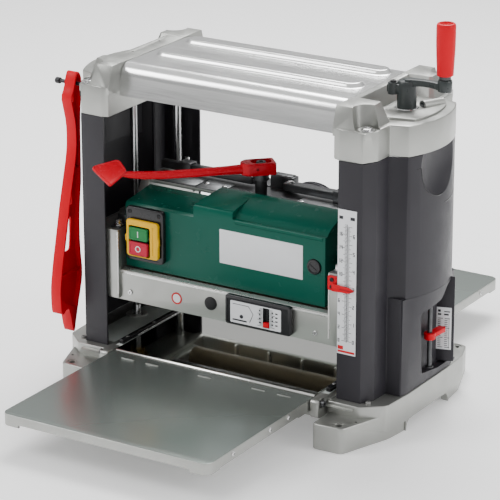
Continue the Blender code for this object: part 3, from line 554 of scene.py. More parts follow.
def light_and_camera():
    world = bpy.data.worlds.new("studio")
    world.use_nodes = True
    tree = world.node_tree
    way = tree.nodes.new("ShaderNodeTexCoord")
    parts = tree.nodes.new("ShaderNodeSeparateXYZ")
    tree.links.new(way.outputs["Generated"], parts.inputs["Vector"])
    sky = ramp(tree, parts.outputs["Z"], [(0.0, (0.5, 0.5, 0.5)), (0.22, (0.5, 0.5, 0.5)),
                                          (0.6, (1.0, 1.0, 1.0))])
    tree.links.new(sky, tree.nodes["Background"].inputs["Color"])
    tree.nodes["Background"].inputs["Strength"].default_value = 0.92
    bpy.context.scene.world = world
    middle = (0, 0, 0.3)
    softbox("key", (-1.9, -1.7, 2.3), middle, 1.3, 50)
    softbox("top", (-0.5, 1.3, 2.5), middle, 1.5, 105)
    softbox("side", (2.6, 0.2, 1.5), middle, 0.7, 26, 1.4)
    data = bpy.data.cameras.new("camera")
    data.sensor_width = 36.0
    data.lens = 194.1
    data.shift_x = -0.0314
    data.shift_y = -0.0118
    data.clip_start = 0.05
    data.clip_end = 100.0
    camera = bpy.data.objects.new("camera", data)
    target = Vector((0, 0, 0.2147))
    back = Vector((0.4933, -0.8037, 0.3327)).normalized()
    camera.location = target + back * 4.0113
    camera.rotation_mode = "QUATERNION"
    camera.rotation_quaternion = (-back).to_track_quat("-Z", "Y")
    bpy.context.scene.collection.objects.link(camera)
    bpy.context.scene.camera = camera


stage()
light_and_camera()

# ---------------------------------------------------------------- CAD nodes that stay

KEPT = {
    "ground": ["column_front_left", "column_front_right", "column_rear_left", "column_rear_right"],
    "dark_steel": ["cutterhead", "height_chain", "left_sprocket", "right_sprocket"],
}


def carried_over():
    for material, nodes in KEPT.items():
        for node in nodes:
            mesh = NODES[node].data
            shade(mesh, 30)
            mesh.materials.clear()
            mesh.materials.append(M[material])


carried_over()

# ---------------------------------------------------------------- base, bed and tables

DECK = 0.0564
HINGE = (0.156, 0.0555)
COLUMN = (0.229, 0.1115)
SCREW_X = 0.234
FOOT_BOLT = (0.231, 0.178)
INNER_FACE = 0.1884
BOTH = (-1, 1)


def ordered(a, b):
    return (min(a, b), max(a, b))


def span_box(x, y, z, bevel=0.0006, segments=2):
    """A box from unordered pairs."""
    (x0, x1), (y0, y1), (z0, z1) = (ordered(*pair) for pair in (x, y, z))
    return box((x0, y0, z0), (x1, y1, z1), bevel, segments)


def base():
    block = [(0.19, -0.144), (0.243, -0.144), (0.275, -0.117), (0.279, -0.06)]
    block += reflected(block)
    foot = [(0.194, -0.192), (0.242, -0.19), (0.272, -0.107), (0.277, -0.064), (0.204, -0.064),
            (0.194, -0.12)]
    parts = []
    for sign in BOTH:
        parts.append(prism(side(rounded(block, 0.005, 3), sign), 0.016, DECK, "Z", 0.0022, 3))
        for end in BOTH:
            outline = foot if end < 0 else reflected(foot)
            parts.append(prism(side(rounded(outline, 0.007, 4), sign), 0.0, 0.0392, "Z", 0.002, 3))
            low = [(0.066, 0.0), (0.0645, 0.0)] + arc((0.048, 0.0005), 0.0165, 0, 90, 7) + [(0.066, 0.017)]
            parts.append(prism(at_end(low, end), *ordered(sign * 0.2685, sign * 0.2775), "X", 0.0))
            ear = rectangle(0.13, 0.1665, 0.034, 0.062, 0.007, 4)
            parts.append(prism(at_end(ear, end), *ordered(sign * 0.1755, sign * 0.1895), "X", 0.0012, 2))
            parts.append(prism(at_end([(0.12, 0.05), (0.15, 0.05), (0.12, 0.0575)], end),
                               *ordered(sign * 0.19, sign * 0.235), "X", 0.0))
    deck = box((-0.195, -0.139, 0.024), (0.195, 0.139, 0.0586), 0.0012)
    shape = fused(parts[0], deck, *parts[1:])
    tools = [box((-0.184, -0.131, -0.01), (0.184, 0.131, 0.052), 0),
             box((-0.266, -0.098, -0.01), (0.266, 0.098, 0.0505), 0)]
    for sign in BOTH:
        tools.append(rod((sign * SCREW_X, 0, 0.04), (sign * SCREW_X, 0, 0.07), 0.0085, 24))
        for end in BOTH:
            tools.append(rod((sign * FOOT_BOLT[0], end * FOOT_BOLT[1], -0.01),
                             (sign * FOOT_BOLT[0], end * FOOT_BOLT[1], 0.05), 0.0045, 24))
            tools.append(rod((sign * FOOT_BOLT[0], end * FOOT_BOLT[1], 0.0382),
                             (sign * FOOT_BOLT[0], end * FOOT_BOLT[1], 0.05), 0.008, 28))
            tools.append(rod((sign * 0.246, end * 0.156, 0.03),
                             (sign * 0.246, end * 0.156, 0.05), 0.0022, 16))
            tools.append(span_box((sign * 0.1865, sign * 0.195), (end * 0.15, end * 0.1625),
                                  (0.049, 0.0618), 0))
    piece("base_casting_body", "frame", "cast", cut(shape, *tools), stands_for="base_casting")
    details = []
    for sign in BOTH:
        for y in (-0.055, 0.055):
            details.append(span_box((sign * 0.203, sign * 0.264), (y - 0.0015, y + 0.0015),
                                    (0.022, 0.051), 0.0004))
        for y in (-0.124, 0.124):
            details.append(hex_socket_screw((sign * 0.2475, y, DECK), UP, 0.004, 0.003))
    piece("base_ribs_and_screws", "frame", "cast_inner", *details)
    collars = []
    for sign in BOTH:
        profile = [(0.0078, 0.0), (0.0165, 0.0), (0.0165, 0.0022), (0.0158, 0.0027), (0.0078, 0.0027)]
        collars.append(turned(profile, (sign * SCREW_X, 0, DECK), UP, 40, closed=True))
        for end in BOTH:
            profile = [(0.0076, 0.0), (0.0125, 0.0), (0.0125, 0.006), (0.0115, 0.007), (0.0076, 0.007)]
            collars.append(turned(profile, (sign * COLUMN[0], end * COLUMN[1], DECK), UP, 40, closed=True))
    piece("screw_and_column_collars", "frame", "milled", *collars, slot="bright_steel")
    floors = [cut(span_box((sign * 0.185, sign * 0.244), (-0.115, 0.115),
                           (DECK + 0.0001, DECK + 0.0009), 0.0003),
                  rod((sign * SCREW_X, 0, 0.04), (sign * SCREW_X, 0, 0.07), 0.0085, 24)) for sign in BOTH]
    floors += [span_box((sign * 0.1728, sign * 0.1848), (-0.13, 0.13), (0.0587, 0.0594), 0.0003)
               for sign in BOTH]
    piece("housing_floors", "frame", "deck", *floors)


def bed():
    half = 0.0015
    middle = 0.0605
    reach = 0.1485 - half
    bend = 0.0026
    left = [(-reach, 0.046)] + arc((-reach + bend, middle - bend), bend, 180, 90, 7)
    sheet = ribbon(left + mirrored(left), -0.172, 0.172, "X", 2 * half, 0.0004)
    plate = piece("bed_plate_sheet", "frame", "polished", sheet, stands_for="bed_plate", angle=40)
    for face in plate.data.polygons:
        if abs(face.normal.z) > 0.999:
            face.use_smooth = False
    for name, sign in (("left_bed_guide", -1), ("right_bed_guide", 1)):
        strip = span_box((sign * 0.1765, sign * 0.1835), (-0.122, 0.122), (0.059, 0.066), 0.0008, 3)
        piece(f"{name}_strip", "frame", "black_gloss", strip, stands_for=name)
        screws = [cross_screw((sign * 0.18, y, 0.0655), UP, 0.003, 0.0012)
                  for y in (-0.105, -0.035, 0.035, 0.105)]
        screws.append(rod((sign * 0.1745, -0.085, 0.0622),
                          (sign * 0.1745, 0.085, 0.0622), 0.0013, 16, 0.0004))
        piece(f"{name}_screws", "frame", "bright_screw", *screws)


def table(node, body, end):
    """A folding table with a rim, ribs below, embossed marks near the hinge and rim screws."""
    half, top, far, near, corner = 0.174, 0.0605, 0.4315, 0.1525, 0.014
    outline = [(-half, near), (half, near)]
    outline += arc((half - corner, far - corner), corner, 0, 90, 9)
    outline += arc((-half + corner, far - corner), corner, 90, 180, 9)
    room = inset(outline, 0.004)
    room = [(u, v - 0.022 if v < near + 0.01 else v) for u, v in room]
    if end < 0:
        outline = reflected(outline)
        room = reflected(room)
    slab = prism(outline, top - 0.018, top, "Z", 0.0011, 3)
    tools = [prism(room, 0.02, top - 0.0035, "Z", 0.0)]
    dip = rounded([(-0.138, 0.03), (0.138, 0.03), (0.146, 0.0475), (-0.146, 0.0475)], 0.006, 4)
    tools.append(prism(dip, *ordered(end * (far - 0.0065), end * (far + 0.004)), "Y", 0.0))
    for sign in BOTH:
        tools.append(rod((sign * 0.165, end * HINGE[0], HINGE[1]),
                         (sign * 0.178, end * HINGE[0], HINGE[1]), 0.0034, 20))
        notch = rounded(at_end([(0.2, 0.03), (0.395, 0.03), (0.405, 0.0455), (0.19, 0.0455)], end), 0.006, 4)
        tools.append(prism(notch, *ordered(sign * 0.168, sign * 0.18), "X", 0.0))
    shape = cut(slab, *tools)
    ribs = []
    for x in (-0.085, 0.0, 0.085):
        ribs.append(span_box((x - 0.0015, x + 0.0015), (end * 0.166, end * 0.428),
                             (top - 0.012, top - 0.003), 0.0004))
    for y in (0.235, 0.3, 0.365):
        ribs.append(span_box((-0.1705, 0.1705), (end * (y - 0.0015), end * (y + 0.0015)),
                             (top - 0.012, top - 0.003), 0.0004))
    for sign in BOTH:
        ribs.append(rod((sign * 0.16, end * HINGE[0], HINGE[1] - 0.0006),
                        (sign * 0.1685, end * HINGE[0], HINGE[1] - 0.0006), 0.0048, 24, 0.0005))
    marks = []
    for x in (-0.135, -0.092, 0.0, 0.092, 0.135):
        marks.append(emboss((x, end * 0.1705, top - 0.0002), 0.0115, 0.0012, 0.001))
    slab_piece = piece(f"{node}_casting", body, "cast", shape, *ribs, stands_for=node, slot="table_aluminium")
    slab_piece.data.materials.append(M["table"])
    for polygon in slab_piece.data.polygons:
        if polygon.normal.z > 0.96 and polygon.center.z > top - 0.002:
            polygon.material_index = 1
    piece(f"{node}_marks", body, "cast", *marks)
    screws = []
    for sign in BOTH:
        for y in (0.222, 0.272, 0.3685):
            screws.append(cross_screw((sign * half, end * y, 0.054), (sign, 0, 0), 0.0042, 0.002))
    piece(f"{node}_screws", body, "bright_screw", *screws)


def emboss(place, half_length, half_width, height):
    """A low rounded ridge along X."""
    rings = []
    for t in (0.0, 0.35, 0.75, 1.0):
        width = half_width * math.cos(t * math.pi / 2) + 0.0002
        outline = arc((half_length - half_width, 0), width, -90, 90, 7)
        outline += arc((-half_length + half_width, 0), width, 90, 270, 7)
        rings.append([(place[0] + u, place[1] + v, place[2] + height * math.sin(t * math.pi / 2))
                      for u, v in outline])
    return loft(rings)


def hinge_pins():
    for end_name, end in (("infeed", -1), ("outfeed", 1)):
        for side_name, sign in (("left", -1), ("right", 1)):
            shank = rod((sign * 0.1697, end * HINGE[0], HINGE[1]),
                        (sign * 0.1906, end * HINGE[0], HINGE[1]), 0.003, 24, 0.0004)
            head = hex_socket_screw((sign * 0.1903, end * HINGE[0], HINGE[1]), (sign, 0, 0), 0.005, 0.0042)
            piece(f"{end_name}_{side_name}_hinge_bolt", "frame", "dark_steel", shank, head,
                  stands_for=f"{end_name}_hinge_pin_{side_name}")


# ---------------------------------------------------------------- housings and top castings

BULGE_R, BULGE_Y, BULGE_X = 0.143, 0.07, 0.2943


def flank(grow=0.0, count=25):
    """The outer side of a housing or casting in plan at +X, front to back."""
    half_angle = math.degrees(math.asin(BULGE_Y / BULGE_R))
    front = [(0.199, -0.131 - grow), (0.237, -0.131 - grow), (0.249 + grow, -0.11), (0.2505 + grow, -0.0785)]
    bulge = arc((BULGE_X - BULGE_R, 0.0), BULGE_R + grow, -half_angle, half_angle, count)
    return front + bulge + reflected(front)


def ellipsoid(centre, radii, segments=48):
    profile = [(math.sin(math.pi * i / 24), -math.cos(math.pi * i / 24)) for i in range(25)]
    profile[0], profile[-1] = (0, -1), (0, 1)
    ball = turned(profile, (0, 0, 0), UP, segments)
    return moved(ball, Matrix.Translation(centre) @ Matrix.Diagonal((*radii, 1)))


def skirt_shell(low, high, wall=0.003):
    """The lower side panel at +X: curved like the bulge at its top and nearly flat at its foot."""
    count = 17
    ys = [-0.0775 + 0.155 * i / (count - 1) for i in range(count)]
    centre = BULGE_X - BULGE_R

    def outline(share):
        points = []
        for y in ys:
            curved = centre + math.sqrt(BULGE_R ** 2 - min(abs(y), BULGE_Y) ** 2)
            curved = min(curved, 0.274 + (0.079 - abs(y)) * 1.2)
            flat = min(0.2772, 0.2735 + (0.079 - abs(y)) * 0.5)
            points.append((flat + (curved - flat) * share, y))
        return [(x, y) for x, y in points] + [(x - wall, y) for x, y in reversed(points)]

    rings = []
    for z in (low, low + 0.03, (low + high) / 2, high - 0.03, high):
        share = ((z - low) / (high - low)) ** 1.2
        rings.append([(x, y, z) for x, y in outline(share)])
    return loft(rings)


SCOOP_SIZE = (0.024, 0.062, 0.054)


def scoop_centre(sign):
    return (sign * 0.304, -0.01, 0.394)


def on_bulge(y):
    return BULGE_X - BULGE_R + math.sqrt((BULGE_R - 0.0006) ** 2 - y * y)


def scoop_lips():
    """Thin rounded lips: one along the scoop's lower rim and one crescent below it."""
    cx, cy, cz = scoop_centre(1)
    rx, ry, rz = SCOOP_SIZE
    rim = []
    for i in range(25):
        y = -0.056 + 0.056 * i / 24
        x = on_bulge(y)
        rest = 1 - ((x - cx) / rx) ** 2 - ((y - cy) / ry) ** 2
        rim.append((x, y, cz - rz * math.sqrt(max(0.0, rest))))
    crescent = []
    for i in range(17):
        y = 0.008 + 0.044 * i / 16
        crescent.append((on_bulge(y), y, 0.33 + 0.006 * ((y - 0.018) / 0.034) ** 2))
    return [tube(rim, 0.001, 10), tube(crescent, 0.001, 10)]


def housing(node, sign):
    low, high, split = DECK + 0.0004, 0.4138, 0.2035
    path = flank(-0.0015)
    shell = ribbon(side(path, sign), low, high, "Z", 0.003)
    shell = cut(shell, span_box((sign * 0.2535, sign * 0.32), (-0.08, 0.08), (0.0, split), 0))
    lower = skirt_shell(low, split - 0.0004)
    if sign < 0:
        lower = flipped(lower, x=-1)
    ends = [span_box((sign * 0.248, sign * 0.2735), (end * 0.079, end * 0.076), (low, split - 0.0004), 0.0004)
            for end in BOTH]
    ledge = [p for p in flank(-0.0012) if p[0] > 0.26]
    ledge += [(0.262, ledge[-1][1]), (0.262, ledge[0][1])]
    caps = [span_box((sign * 0.249, sign * 0.2738), (end * 0.079, end * 0.06),
                     (split - 0.0034, split + 0.001), 0.0)
            for end in BOTH]
    extra = [lower, *ends, *caps, prism(side(ledge, sign), split - 0.0018, split + 0.0006, "Z", 0.0)]
    pad = [(x - 0.001, y) for x, y in flank(-0.002)[5:-5]]
    back = [(x - 0.014, y) for x, y in reversed(pad)]
    extra.append(prism(side(pad + back, sign), 0.33, 0.4134, "Z", 0.0))
    tools = [ellipsoid(scoop_centre(sign), SCOOP_SIZE)]
    if sign > 0:
        pocket = rounded([(-0.0225, 0.074), (0.03, 0.066), (0.064, 0.066), (0.064, 0.198), (0.03, 0.198),
                          (0.012, 0.181), (-0.042, 0.174)], 0.004, 4)
        room = prism(inset(pocket, -0.003), 0.2635, 0.276, "X", 0.0)
        extra.append(room)
        tools.append(prism(pocket, 0.266, 0.31, "X", 0.0))
    shape = edged(cut(fused(shell, *extra), *tools), 0.0007, 2, 16)
    piece(f"{node}_shell", "frame", "black", shape, stands_for=node, angle=18)
    inside = []
    for y in (-0.07, 0.07):
        inside.append(span_box((sign * 0.244, sign * 0.248), (y - 0.001, y + 0.001), (0.06, 0.41), 0.0003))
    piece(f"{node}_ribs", "frame", "black", *inside)
    lips = scoop_lips()
    if sign < 0:
        lips = [flipped(lip, x=-1) for lip in lips]
    piece(f"{node}_scoop_lips", "frame", "black_gloss", *lips)


FIN_TURN = math.radians(17)


def depth_stop():
    x, y = 0.2765, 0.004
    stem = turned([(0, 0.0755), (0.003, 0.0755), (0.0035, 0.0762), (0.0035, 0.1738), (0.003, 0.1745),
                   (0, 0.1745)],
                  (x, y, 0), UP, 24)
    clip = turned([(0.0034, 0.0756), (0.0062, 0.0756), (0.0062, 0.0767), (0.0034, 0.0767)], (x, y, 0),
                  UP, 24, closed=True)
    knob = turned([(0.0029, 0.1733), (0.006, 0.1733), (0.0062, 0.1736), (0.0062, 0.1744), (0.0029, 0.1744)],
                  (x, y, 0), UP, 24, closed=True)
    piece("stop_rod_bar", "frame", "dark_steel", stem, clip, knob, stands_for="stop_rod")
    turn = pose((0.264, 0.044, 0), FIN_TURN, "Z")
    fin = moved(box((-0.0015, 0.0, 0.07), (0.028, 0.0022, 0.202), 0.0005), turn)
    foot = moved(box((0.003, 0.001, 0.07), (0.028, 0.013, 0.0726), 0.0005), turn)
    piece("stop_scale_plate", "frame", "black", fin, foot)
    card = moved(box((0.0018, -0.0006, 0.088), (0.0242, 0.0001, 0.1535), 0.0002), turn)
    piece("stop_scale_card", "frame", "white", card)
    marks = []
    for i in range(16):
        z = 0.0915 + i * 0.003
        for left in (0.004, 0.014):
            reach = 0.0075 if i % 5 == 0 else 0.0045
            marks.append(mark(left, left + reach, z - 0.0004, z + 0.0004, -0.0004, 0.0005))
    marks += [mark(0.004, 0.009, 0.1415, 0.144, -0.0004, 0.0005),
              mark(0.004, 0.008, 0.1465, 0.15, -0.0004, 0.0005),
              mark(0.013, 0.022, 0.1465, 0.148, -0.0004, 0.0005),
              mark(0.013, 0.02, 0.1415, 0.144, -0.0004, 0.0005),
              mark(0.0205, 0.021, 0.09, 0.138, -0.0004, 0.0005)]
    piece("stop_scale_marks", "frame", "ink", *[moved(m, turn) for m in marks])
    sleeve = turned([(0.0038, 0.119), (0.008, 0.119), (0.0086, 0.1197), (0.0086, 0.1283), (0.008, 0.129),
                     (0.0038, 0.129)], (x, y, 0), UP, 32, closed=True)
    blade = rounded([(x - 0.0048, y + 0.006), (x + 0.006, y + 0.006), (x + 0.0085, y + 0.033),
                     (x + 0.0065, y + 0.036), (x - 0.001, y + 0.035), (x - 0.004, y + 0.031)], 0.002, 3)
    arm = prism(blade, 0.1206, 0.1276, "Z", 0.0012, 3)
    piece("stop_pointer_body", "stop_pointer", "red", sleeve, arm, stands_for="stop_pointer")


def top_casting(node, sign):
    outline = [(0.19, -0.129), (0.2005, -0.1325)] + flank(0.0006)[1:-1] + [(0.2005, 0.1325), (0.19, 0.129)]
    rim = prism(side(outline, sign), 0.4142, 0.46, "Z", 0.0018, 3, limit=12)
    parts = []
    for end in BOTH:
        low = [(INNER_FACE, -0.13), (0.24, -0.13), (0.244, -0.12), (0.244, -0.066), (0.236, -0.062),
               (INNER_FACE, -0.062)]
        high = [(INNER_FACE, -0.1205), (0.23, -0.1205), (0.234, -0.116), (0.234, -0.076), (0.23, -0.073),
                (INNER_FACE, -0.073)]
        rings = []
        for ring, z in ((low, 0.448), (low, 0.459), (high, 0.49)):
            ring = side(ring if end < 0 else reflected(ring), sign)
            rings.append([(x, y, z) for x, y in ring])
        parts.append(loft(rings))
    if sign > 0:
        bar = [(INNER_FACE, 0.447), (0.2075, 0.447), (0.2035, 0.474), (0.197, 0.4885), (INNER_FACE, 0.4893)]
    else:
        bar = [(INNER_FACE, 0.447), (0.225, 0.447), (0.2215, 0.475), (0.2196, 0.4885), (0.2185, 0.4895),
               (INNER_FACE, 0.4895)]
    parts.append(prism(side(bar, sign), -0.074, 0.074, "Y", 0.0))
    plateau = arc((BULGE_X - BULGE_R, 0.0), 0.13, -21, 21, 17) + [(0.235, 0.06), (0.19, 0.06), (0.19, -0.056),
                                                                   (0.235, -0.056)]
    parts.append(prism(side(plateau, sign), 0.45, 0.4634, "Z", 0.0))
    shape = fused(rim, *parts)
    tools = [span_box((sign * 0.15, sign * INNER_FACE), (-0.108, 0.108), (0.4395, 0.52), 0)]
    for end in BOTH:
        x, y = sign * 0.2335, end * 0.1135
        low_ring, high_ring = [], []
        for k in range(48):
            angle = 2 * math.pi * k / 48
            c, s = math.cos(angle), math.sin(angle)
            low_ring.append((x + 0.0185 * c, y + 0.0185 * s, 0.458))
            high_ring.append((x + 0.0208 * c, y + 0.0208 * s, 0.499))
        tools.append(loft([low_ring, high_ring]))
        if sign < 0:
            tools.append(rod((-0.209, end * 0.036, 0.483), (-0.209, end * 0.036, 0.5), 0.0022, 16))
    if sign > 0:
        tools.append(rod((SCREW_X, 0, 0.4624), (SCREW_X, 0, 0.52), 0.0175, 40))
    tools.append(rod((sign * SCREW_X, 0, 0.4), (sign * SCREW_X, 0, 0.52 if sign > 0 else 0.446), 0.0064, 24))
    shape = edged(cut(shape, *tools), 0.0017, 3, 28)
    tongue = span_box((sign * 0.166, sign * 0.196), (-0.076, 0.076), (0.46, 0.486), 0.0008)
    piece(f"{node}_body", "frame", "cast", shape, tongue, stands_for=node, angle=18)
    bolts = []
    for end in BOTH:
        place = (sign * 0.2325, end * 0.112, 0.458)
        bolts.append(disc(place, UP, 0.0125, 0.0012, 40))
        bolts.append(hex_socket_screw((place[0], place[1], 0.459), UP, 0.008, 0.003))
    if sign < 0:
        bolts.append(hex_bolt((-SCREW_X, 0, 0.4634), UP, 0.013, 0.007, 0.011))
    piece(f"{node}_bolts", "frame", "bright_screw", *bolts)


def top_cover():
    """A pressed sheet with two long raised ribs and rolled front and back edges."""
    half_x, top, sheet, round_edge = 0.1875, 0.489, 0.0018, 0.02
    centre = (0.079, top - round_edge)
    profile = [(0.104, 0.442), (0.1012, 0.456)] + arc(centre, round_edge, 4, 90, 11)
    flat = [centre[0] - i * (2 * centre[0]) / 130 for i in range(1, 130)]
    ys = profile + [(y, top) for y in flat] + mirrored(profile)
    fine = [0.15 + i * 0.0013 for i in range(29)]
    xs = [-x for x in reversed(fine)] + [-0.14 + i * 0.01 for i in range(29)] + fine
    xs[0], xs[-1] = -half_x, half_x

    def lift(x, y):
        raised = 0.0
        for middle, half, reach in RIBS:
            along = max(0.0, abs(x) - (reach - half))
            distance = half - math.hypot(abs(y - middle), along)
            t = min(1.0, max(0.0, distance / RIB_FLANK))
            raised = max(raised, t * t * (3 - 2 * t))
        return raised * RIB_LIFT

    bm = bmesh.new()
    grids = []
    for drop in (0.0, sheet):
        rows = []
        for x in xs:
            row = []
            for i, (y, z) in enumerate(ys):
                before, after = ys[max(0, i - 1)], ys[min(len(ys) - 1, i + 1)]
                along = Vector((after[0] - before[0], after[1] - before[1])).normalized()
                raised = lift(x, y) if z >= top - 1e-6 else 0.0
                row.append(bm.verts.new((x, y + along.y * drop * -1, z + raised + along.x * drop)))
            rows.append(row)
        grids.append(rows)
    outer, inner = grids
    last_x, last_y = len(xs) - 1, len(ys) - 1
    for i in range(last_x):
        for j in range(last_y):
            bm.faces.new((outer[i][j], outer[i + 1][j], outer[i + 1][j + 1], outer[i][j + 1]))
            bm.faces.new((inner[i][j], inner[i][j + 1], inner[i + 1][j + 1], inner[i + 1][j]))
    for j in range(last_y):
        for i in (0, last_x):
            bm.faces.new((outer[i][j], outer[i][j + 1], inner[i][j + 1], inner[i][j]))
    for i in range(last_x):
        for j in (0, last_y):
            bm.faces.new((outer[i][j], outer[i + 1][j], inner[i + 1][j], inner[i][j]))
    piece("top_cover_sheet", "frame", "cover", to_object(bm), stands_for="top_cover", angle=50)


RIBS = ((-0.019, 0.02, 0.175), (0.06, 0.018, 0.175))
RIB_FLANK, RIB_LIFT = 0.0062, 0.0062
base()
bed()
table("infeed_table", "infeed_table", -1)
table("outfeed_table", "outfeed_table", 1)
hinge_pins()
housing("left_housing", -1)
housing("right_housing", 1)
depth_stop()
top_casting("left_top_casting", -1)
top_casting("right_top_casting", 1)
top_cover()

# ---------------------------------------------------------------- carriage casting

FRONT = -0.118
CUTTER_Z = 0.1524
ROLLER_Y, ROLLER_Z = 0.058, 0.145
MOTOR_Y, MOTOR_Z = -0.052, 0.232
DECK_Z = 0.294


def carriage():
    """The cast carriage: front wall, two posts, side walls, deck and guide arms."""
    shape = box((-0.185, FRONT, 0.13), (0.178, -0.111, 0.1765), 0)
    parts = []
    for low_x, high_x in ((-0.1985, -0.184), (0.177, 0.1985)):
        wall = [(FRONT - 0.0003, 0.13), (0.118, 0.13), (0.118, 0.205), (0.085, 0.24), (0.07, DECK_Z),
                (-0.034, DECK_Z), (-0.06, 0.24), (FRONT - 0.0003, 0.24)]
        parts.append(prism(wall, low_x, high_x, "X", 0.0))
    parts.append(box((-0.2, -0.1245, 0.133), (-0.1812, -0.115, 0.24), 0))
    parts.append(box((-0.185, 0.111, 0.13), (0.178, 0.1175, 0.158), 0))
    parts.append(box((-0.185, -0.03, 0.289), (0.178, 0.066, 0.2938), 0))
    for sign in BOTH:
        arm = [(0.1975, -0.1155), (0.199, -0.1155), (0.199, -0.1245), (0.234, -0.1245), (0.244, -0.1075),
               (0.244, -0.03), (0.25, -0.018)]
        arm += reflected(arm)
        parts.append(prism(side(arm, sign), 0.136, 0.232, "Z", 0.0))
    tools = []
    for sign in BOTH:
        gap = [(0.201, -0.094), (0.256, -0.094), (0.256, -0.018)]
        gap += reflected(gap)
        tools.append(prism(side(gap, sign), 0.168, 0.204, "Z", 0.0))
        tools.append(rod((sign * SCREW_X, 0, 0.12), (sign * SCREW_X, 0, 0.25), 0.0072, 24))
        for end in BOTH:
            x, y = sign * COLUMN[0], end * COLUMN[1]
            tools.append(rod((x, y, 0.12), (x, y, 0.25), 0.0079, 24))
            tools.append(rod((x, y, 0.229), (x, y, 0.25), 0.0105, 28))
        for y, z in ((-0.098, 0.205), (0.095, 0.205), (-0.05, 0.262), (0.058, 0.262)):
            tools.append(rod((sign * 0.1955, y, z), (sign * 0.21, y, z), 0.004, 20))
    tools.append(rod((-0.21, 0, CUTTER_Z), (0.21, 0, CUTTER_Z), 0.0084, 24))
    for y in (-ROLLER_Y, ROLLER_Y):
        tools.append(rod((-0.1965, y, ROLLER_Z), (0.1965, y, ROLLER_Z), 0.0064, 20))
    tools.append(rod((0.15, MOTOR_Y, MOTOR_Z), (0.21, MOTOR_Y, MOTOR_Z), 0.0063, 20))
    for x in (-0.14, 0.02, 0.15):
        tools.append(rod((x, 0.04, 0.28), (x, 0.04, 0.3), 0.0032, 20))
    shape = edged(cut(fused(shape, *parts), *tools), 0.0012, 3, 40)
    piece("carriage_body", "carriage", "cast", shape, stands_for="carriage_casting", angle=26)
    # Painted highlight: the lip is a real rim on the front wall's top edge, but its bright milled metal
    # paints a highlight along that edge.
    lip = prism([(FRONT - 0.0003, 0.1715), (FRONT - 0.0006, 0.1745), (FRONT + 0.0012, 0.177),
                 (-0.1045, 0.1772), (-0.1033, 0.1755), (-0.1033, 0.1735), (-0.1105, 0.1715)], -0.183, 0.177,
                 "X", 0.0009, 3, limit=20)
    ribs = [span_box((x - 0.0015, x + 0.0015), (0.104, 0.112), (0.131, 0.157), 0.0004)
            for x in (-0.12, -0.06, 0.0, 0.06, 0.12)]
    # Painted highlights: thin rods of bright milled metal laid along two vertical corners of the carriage.
    for edge_x, edge_y in ((-0.1818, -0.1239), (0.178, FRONT - 0.0002)):
        ribs.append(tube([(edge_x, edge_y, 0.14), (edge_x, edge_y, 0.238)], 0.0013, 12))
    piece("carriage_lip_ribs_and_painted_edge_highlights", "carriage", "milled", lip, *ribs, angle=26)
    carriage_fittings()


